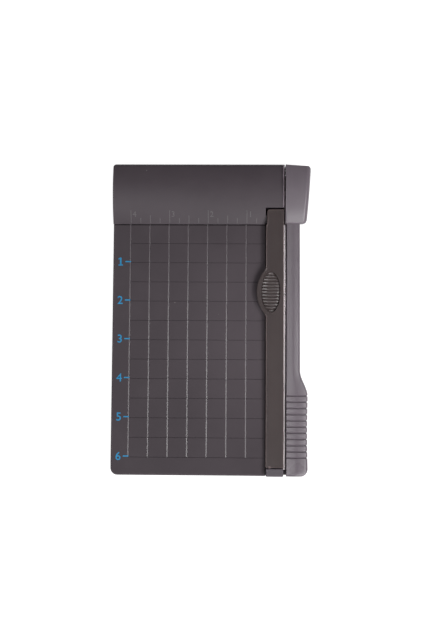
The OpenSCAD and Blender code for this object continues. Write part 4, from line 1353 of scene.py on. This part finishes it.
    def stop_slot(self, bm):
        """Curved slot that the stop pin runs in."""
        inner = widest(f for f in bm.faces if f.normal.x < -0.9)
        if abs(centre_of(inner).x - ARM_X) > 0.01:
            raise RuntimeError("The hub's left face wasn't found")
        room, open_angle = 0.3, 60
        arm = Vector((0, STOP.y - PIVOT.y, STOP.z - PIVOT.z))
        radius, half = arm.length, (STOP_HIGH.z - STOP_LOW.z) / 2 + room
        away = math.degrees(math.atan2(arm.z, arm.y))
        spare = math.degrees(math.asin(half / radius)) + 2
        first, sweep = away - spare, open_angle + 2 * spare
        centre = (ARM_X, PIVOT.y, PIVOT.z)
        far, near = (
            swing(bm, self.around(reach, first), centre, RIGHT, sweep, 20)
            for reach in (radius + half, radius - half)
        )
        ring = [bm.edges.get(pair) for side in (far, near) for pair in zip(side, side[1:])]
        ring += [bm.edges.new((far[0], near[0])), bm.edges.new((far[-1], near[-1]))]
        open_face(bm, inner, ring)
        sink_ring(bm, ring, STOP_HIGH.x + room)


class TRIMMER_OT_springs(TrimmerOperator, bpy.types.Operator):
    """Winds the two springs"""

    bl_idname = "trimmer.springs"
    bl_label = "Springs"

    def make(self, sizes, tones):
        finish = ground_steel("Spring wire", tones.fastener, (900.0, 900.0, 900.0), rough=0.3)
        thick = LIFT_HIGH.z - LIFT_LOW.z
        foot = (LIFT_LOW + LIFT_HIGH) / 2
        foot.z = LIFT_LOW.z
        lift_radius, lift_wire, lift_turns = 2.2, 0.25, 6
        lift = self.coil(lift_radius, lift_wire, thick, lift_turns)
        move(lift, foot)
        piece = add_piece(lift, "bar_spring_coil", "base", finish, ["bar_spring"])
        pressed = BAR_PIN.z - sizes.bar_thickness / 2 - SPRING_ROOM - LIFT_LOW.z
        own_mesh(piece)
        wire, turns = 0.5, 4.5
        radius = (COIL_HIGH.z - COIL_LOW.z) / 2 - wire
        coil = self.coil(radius, wire, COIL_HIGH.x - COIL_LOW.x, turns)
        rotate(coil, math.pi / 2, "Y")
        move(coil, (COIL_LOW.x, PIVOT.y, PIVOT.z))
        add_piece(coil, "pivot_spring_coil", "arm", finish, ["pivot_spring"])

    @staticmethod
    def coil(radius, wire, long, turns):
        """Round wire wound along Z from its lower end."""
        bm = new_mesh()
        section = bmesh.ops.create_circle(bm, cap_ends=True, segments=12, radius=wire)["verts"]
        rotate(bm, math.pi / 2, "X", section)
        move(bm, (radius, 0, wire), section)
        steps_per_turn = 28
        steps = int(steps_per_turn * turns)
        climb = (long - 2 * wire) / steps
        sweep_round(bm, bm.faces[:], (0, 0, 0), UP, 360 * turns, steps, climb)
        return bm


class TRIMMER_OT_metal_and_rubber(TrimmerOperator, bpy.types.Operator):
    """Finishes the blades, fasteners, bush, cap, feet and stop pad"""

    bl_idname = "trimmer.metal_and_rubber"
    bl_label = "Metal and rubber"

    def make(self, sizes, tones):
        # Painted shade on the knife's top: behind the fence under the housing, and beside the lever's arm
        # where its shadow falls.
        painted_shade = (FENCE, KNIFE_HIGH.x + 0.1, 0.004)
        knife = ground_steel("Knife steel", tones.steel, (2500.0, 60.0, 2500.0), rough=0.3, shade_zone=painted_shade)
        # Dark blade steel: painted shade in the slot beside the knife.
        blade = ground_steel("Blade steel", tones.blade, (2500.0, 60.0, 2500.0), rough=0.45)
        plated = ground_steel("Plated steel", tones.fastener, (1400.0, 1400.0, 1400.0), rough=0.3)
        bush = ground_steel("Bush brass", tones.brass, (300.0, 2600.0, 2600.0), rough=0.34)
        foot = rubber("Foot rubber", tones.rubber)
        cap = moulded_plastic("Cap plastic", shifted(tones.lever, 0.93), gloss=0.42)
        feet = [f"foot_{end}_{side}" for end in ("front", "rear") for side in ("left", "right")]
        fasteners = [
            "head_screws", "bed_knife_screws", "bracket_screw", "bar_pin", "arm_stop_pin",
            "arm_blade_screws", "pivot_bolt", "pivot_washer", "pivot_nut",
        ]
        for finish, nodes in (
            (knife, ["bed_knife"]),
            (blade, ["arm_blade"]),
            (plated, fasteners),
            (bush, ["pivot_bush"]),
            (foot, ["stop_bumper", *feet]),
            (cap, ["pivot_cap"]),
        ):
            for node in nodes:
                solid = frame["nodes"][node]
                if not solid.material_slots:
                    solid.data.materials.append(finish)
                for slot in solid.material_slots:
                    slot.material = finish


class TRIMMER_OT_stage(TrimmerOperator, bpy.types.Operator):
    """Sets the floor, the lamps, the white surroundings and the camera"""

    bl_idname = "trimmer.stage"
    bl_label = "Stage"

    def make(self, sizes, tones):
        self.floor(tones)
        self.surroundings()
        self.lamp("Key softbox", (0.68, -1.1, 1.27), (0, 0, 0.01), 1.0, 0.95, 25.0)
        self.lamp("Right strip", (0.38, -0.105, 0.56), (0.0, -0.095, 0.01), 0.39, 0.12, 1.3)
        self.lamp("Left panel", (-0.26, -0.14, 1.0), (0.05, -0.03, 0.01), 0.7, 0.22, 2.8)
        self.lamp("Overhead line", (0.107, 0.16, 1.0), (0.107, 0.16, 0.0), 0.04, 0.5, 0.22)
        self.camera()
        bpy.context.scene.view_settings.view_transform = "Standard"

    @staticmethod
    def floor(tones):
        bm = bmesh.new()
        half_size, drop, glow_strength = 12, 0.0001, 0.9
        bmesh.ops.create_grid(bm, x_segments=8, y_segments=8, size=half_size)
        move(bm, (0, 0, -drop))
        mesh = as_mesh(bm, "floor")
        m = Material("Pale floor")
        base = m.mixed(m.noise(m.place, 6.0, 2.0), shifted(tones.floor, 0.99), tones.floor)
        m.set({"Base Color": base, "Roughness": 0.9, "Specular IOR Level": 0.0})
        path = m.put("LightPath").outputs
        seen = m.larger(m.larger(path["Is Camera Ray"], path["Is Glossy Ray"]), path["Is Transmission Ray"])
        glow = m.put("Emission", {"Color": WHITE, "Strength": m.times(seen, glow_strength)})
        both = m.put("AddShader", {0: m.shader.outputs[0], 1: glow.outputs[0]})
        m.give(m.out.inputs["Surface"], both.outputs[0])
        mesh.materials.append(m.made)
        plane = add_object("floor", mesh)

    @staticmethod
    def surroundings():
        world = bpy.data.worlds.new("White surroundings")
        bpy.context.scene.world = world
        world.use_nodes = True
        n = Nodes(world.node_tree)
        n.tree.nodes.clear()
        path = n.put("LightPath").outputs
        seen = n.larger(path["Is Camera Ray"], path["Is Transmission Ray"])
        lighting, seen_white = 0.1, 1.0
        strength = n.plus(n.times(seen, seen_white - lighting), lighting)
        light = n.put("Background", {"Color": WHITE, "Strength": strength})
        n.put("OutputWorld", {"Surface": light.outputs[0]})

    @staticmethod
    def lamp(name, place, target, wide, tall, power):
        light = bpy.data.lights.new(name, "AREA")
        light.shape = "RECTANGLE"
        light.size, light.size_y = wide, tall
        light.energy = power
        holder = add_object(name, light)
        holder.location = place
        holder.rotation_mode = "QUATERNION"
        holder.rotation_quaternion = (Vector(target) - Vector(place)).to_track_quat("-Z", "Y")

    @staticmethod
    def camera():
        lens = bpy.data.cameras.new("Photo camera")
        lens.sensor_width = 36.0
        lens.lens = 51.92
        holder = add_object("Photo camera", lens)
        ahead = Vector((-0.0223, 0.0742, -0.9970)).normalized()
        right = Vector((0.99974, 0.00653, -0.02186))
        right = (right - ahead * right.dot(ahead)).normalized()
        up = right.cross(ahead)
        turn = Matrix((right, up, -ahead)).transposed()
        holder.matrix_world = Matrix.Translation((0.012796, -0.042125, 0.607088)) @ turn.to_4x4()
        bpy.context.scene.camera = holder


class TRIMMER_PT_panel(bpy.types.Panel):
    """Lists the steps of the trimmer with its sizes and colours"""

    bl_idname = "TRIMMER_PT_panel"
    bl_label = "Paper Trimmer"
    bl_space_type = "VIEW_3D"
    bl_region_type = "UI"
    bl_category = "Trimmer"

    def draw(self, context):
        column = self.layout.column()
        for step in STEPS:
            column.operator(step.bl_idname)
        for holder in (context.scene.trimmer_sizes, context.scene.trimmer_colours):
            box = self.layout.box()
            for key in holder.__annotations__:
                box.prop(holder, key)


STEPS = (
    TRIMMER_OT_bed,
    TRIMMER_OT_bed_print,
    TRIMMER_OT_head,
    TRIMMER_OT_head_ruler,
    TRIMMER_OT_press_bar,
    TRIMMER_OT_bracket,
    TRIMMER_OT_lever,
    TRIMMER_OT_springs,
    TRIMMER_OT_metal_and_rubber,
    TRIMMER_OT_stage,
)
CLASSES = (TrimmerSizes, TrimmerColours, *STEPS, TRIMMER_PT_panel)


def register():
    for cls in CLASSES:
        bpy.utils.register_class(cls)
    bpy.types.Scene.trimmer_sizes = PointerProperty(type=TrimmerSizes)
    bpy.types.Scene.trimmer_colours = PointerProperty(type=TrimmerColours)


def unregister():
    del bpy.types.Scene.trimmer_colours
    del bpy.types.Scene.trimmer_sizes
    for cls in reversed(CLASSES):
        bpy.utils.unregister_class(cls)


def main():
    kept = set(frame["nodes"].values()) | set(frame["bodies"].values())
    for other in [o for o in bpy.data.objects if o not in kept]:
        bpy.data.objects.remove(other)
    register()
    for step in STEPS:
        place, name = step.bl_idname.split(".")
        getattr(getattr(bpy.ops, place), name)()


if __name__ == "__main__":
    main()
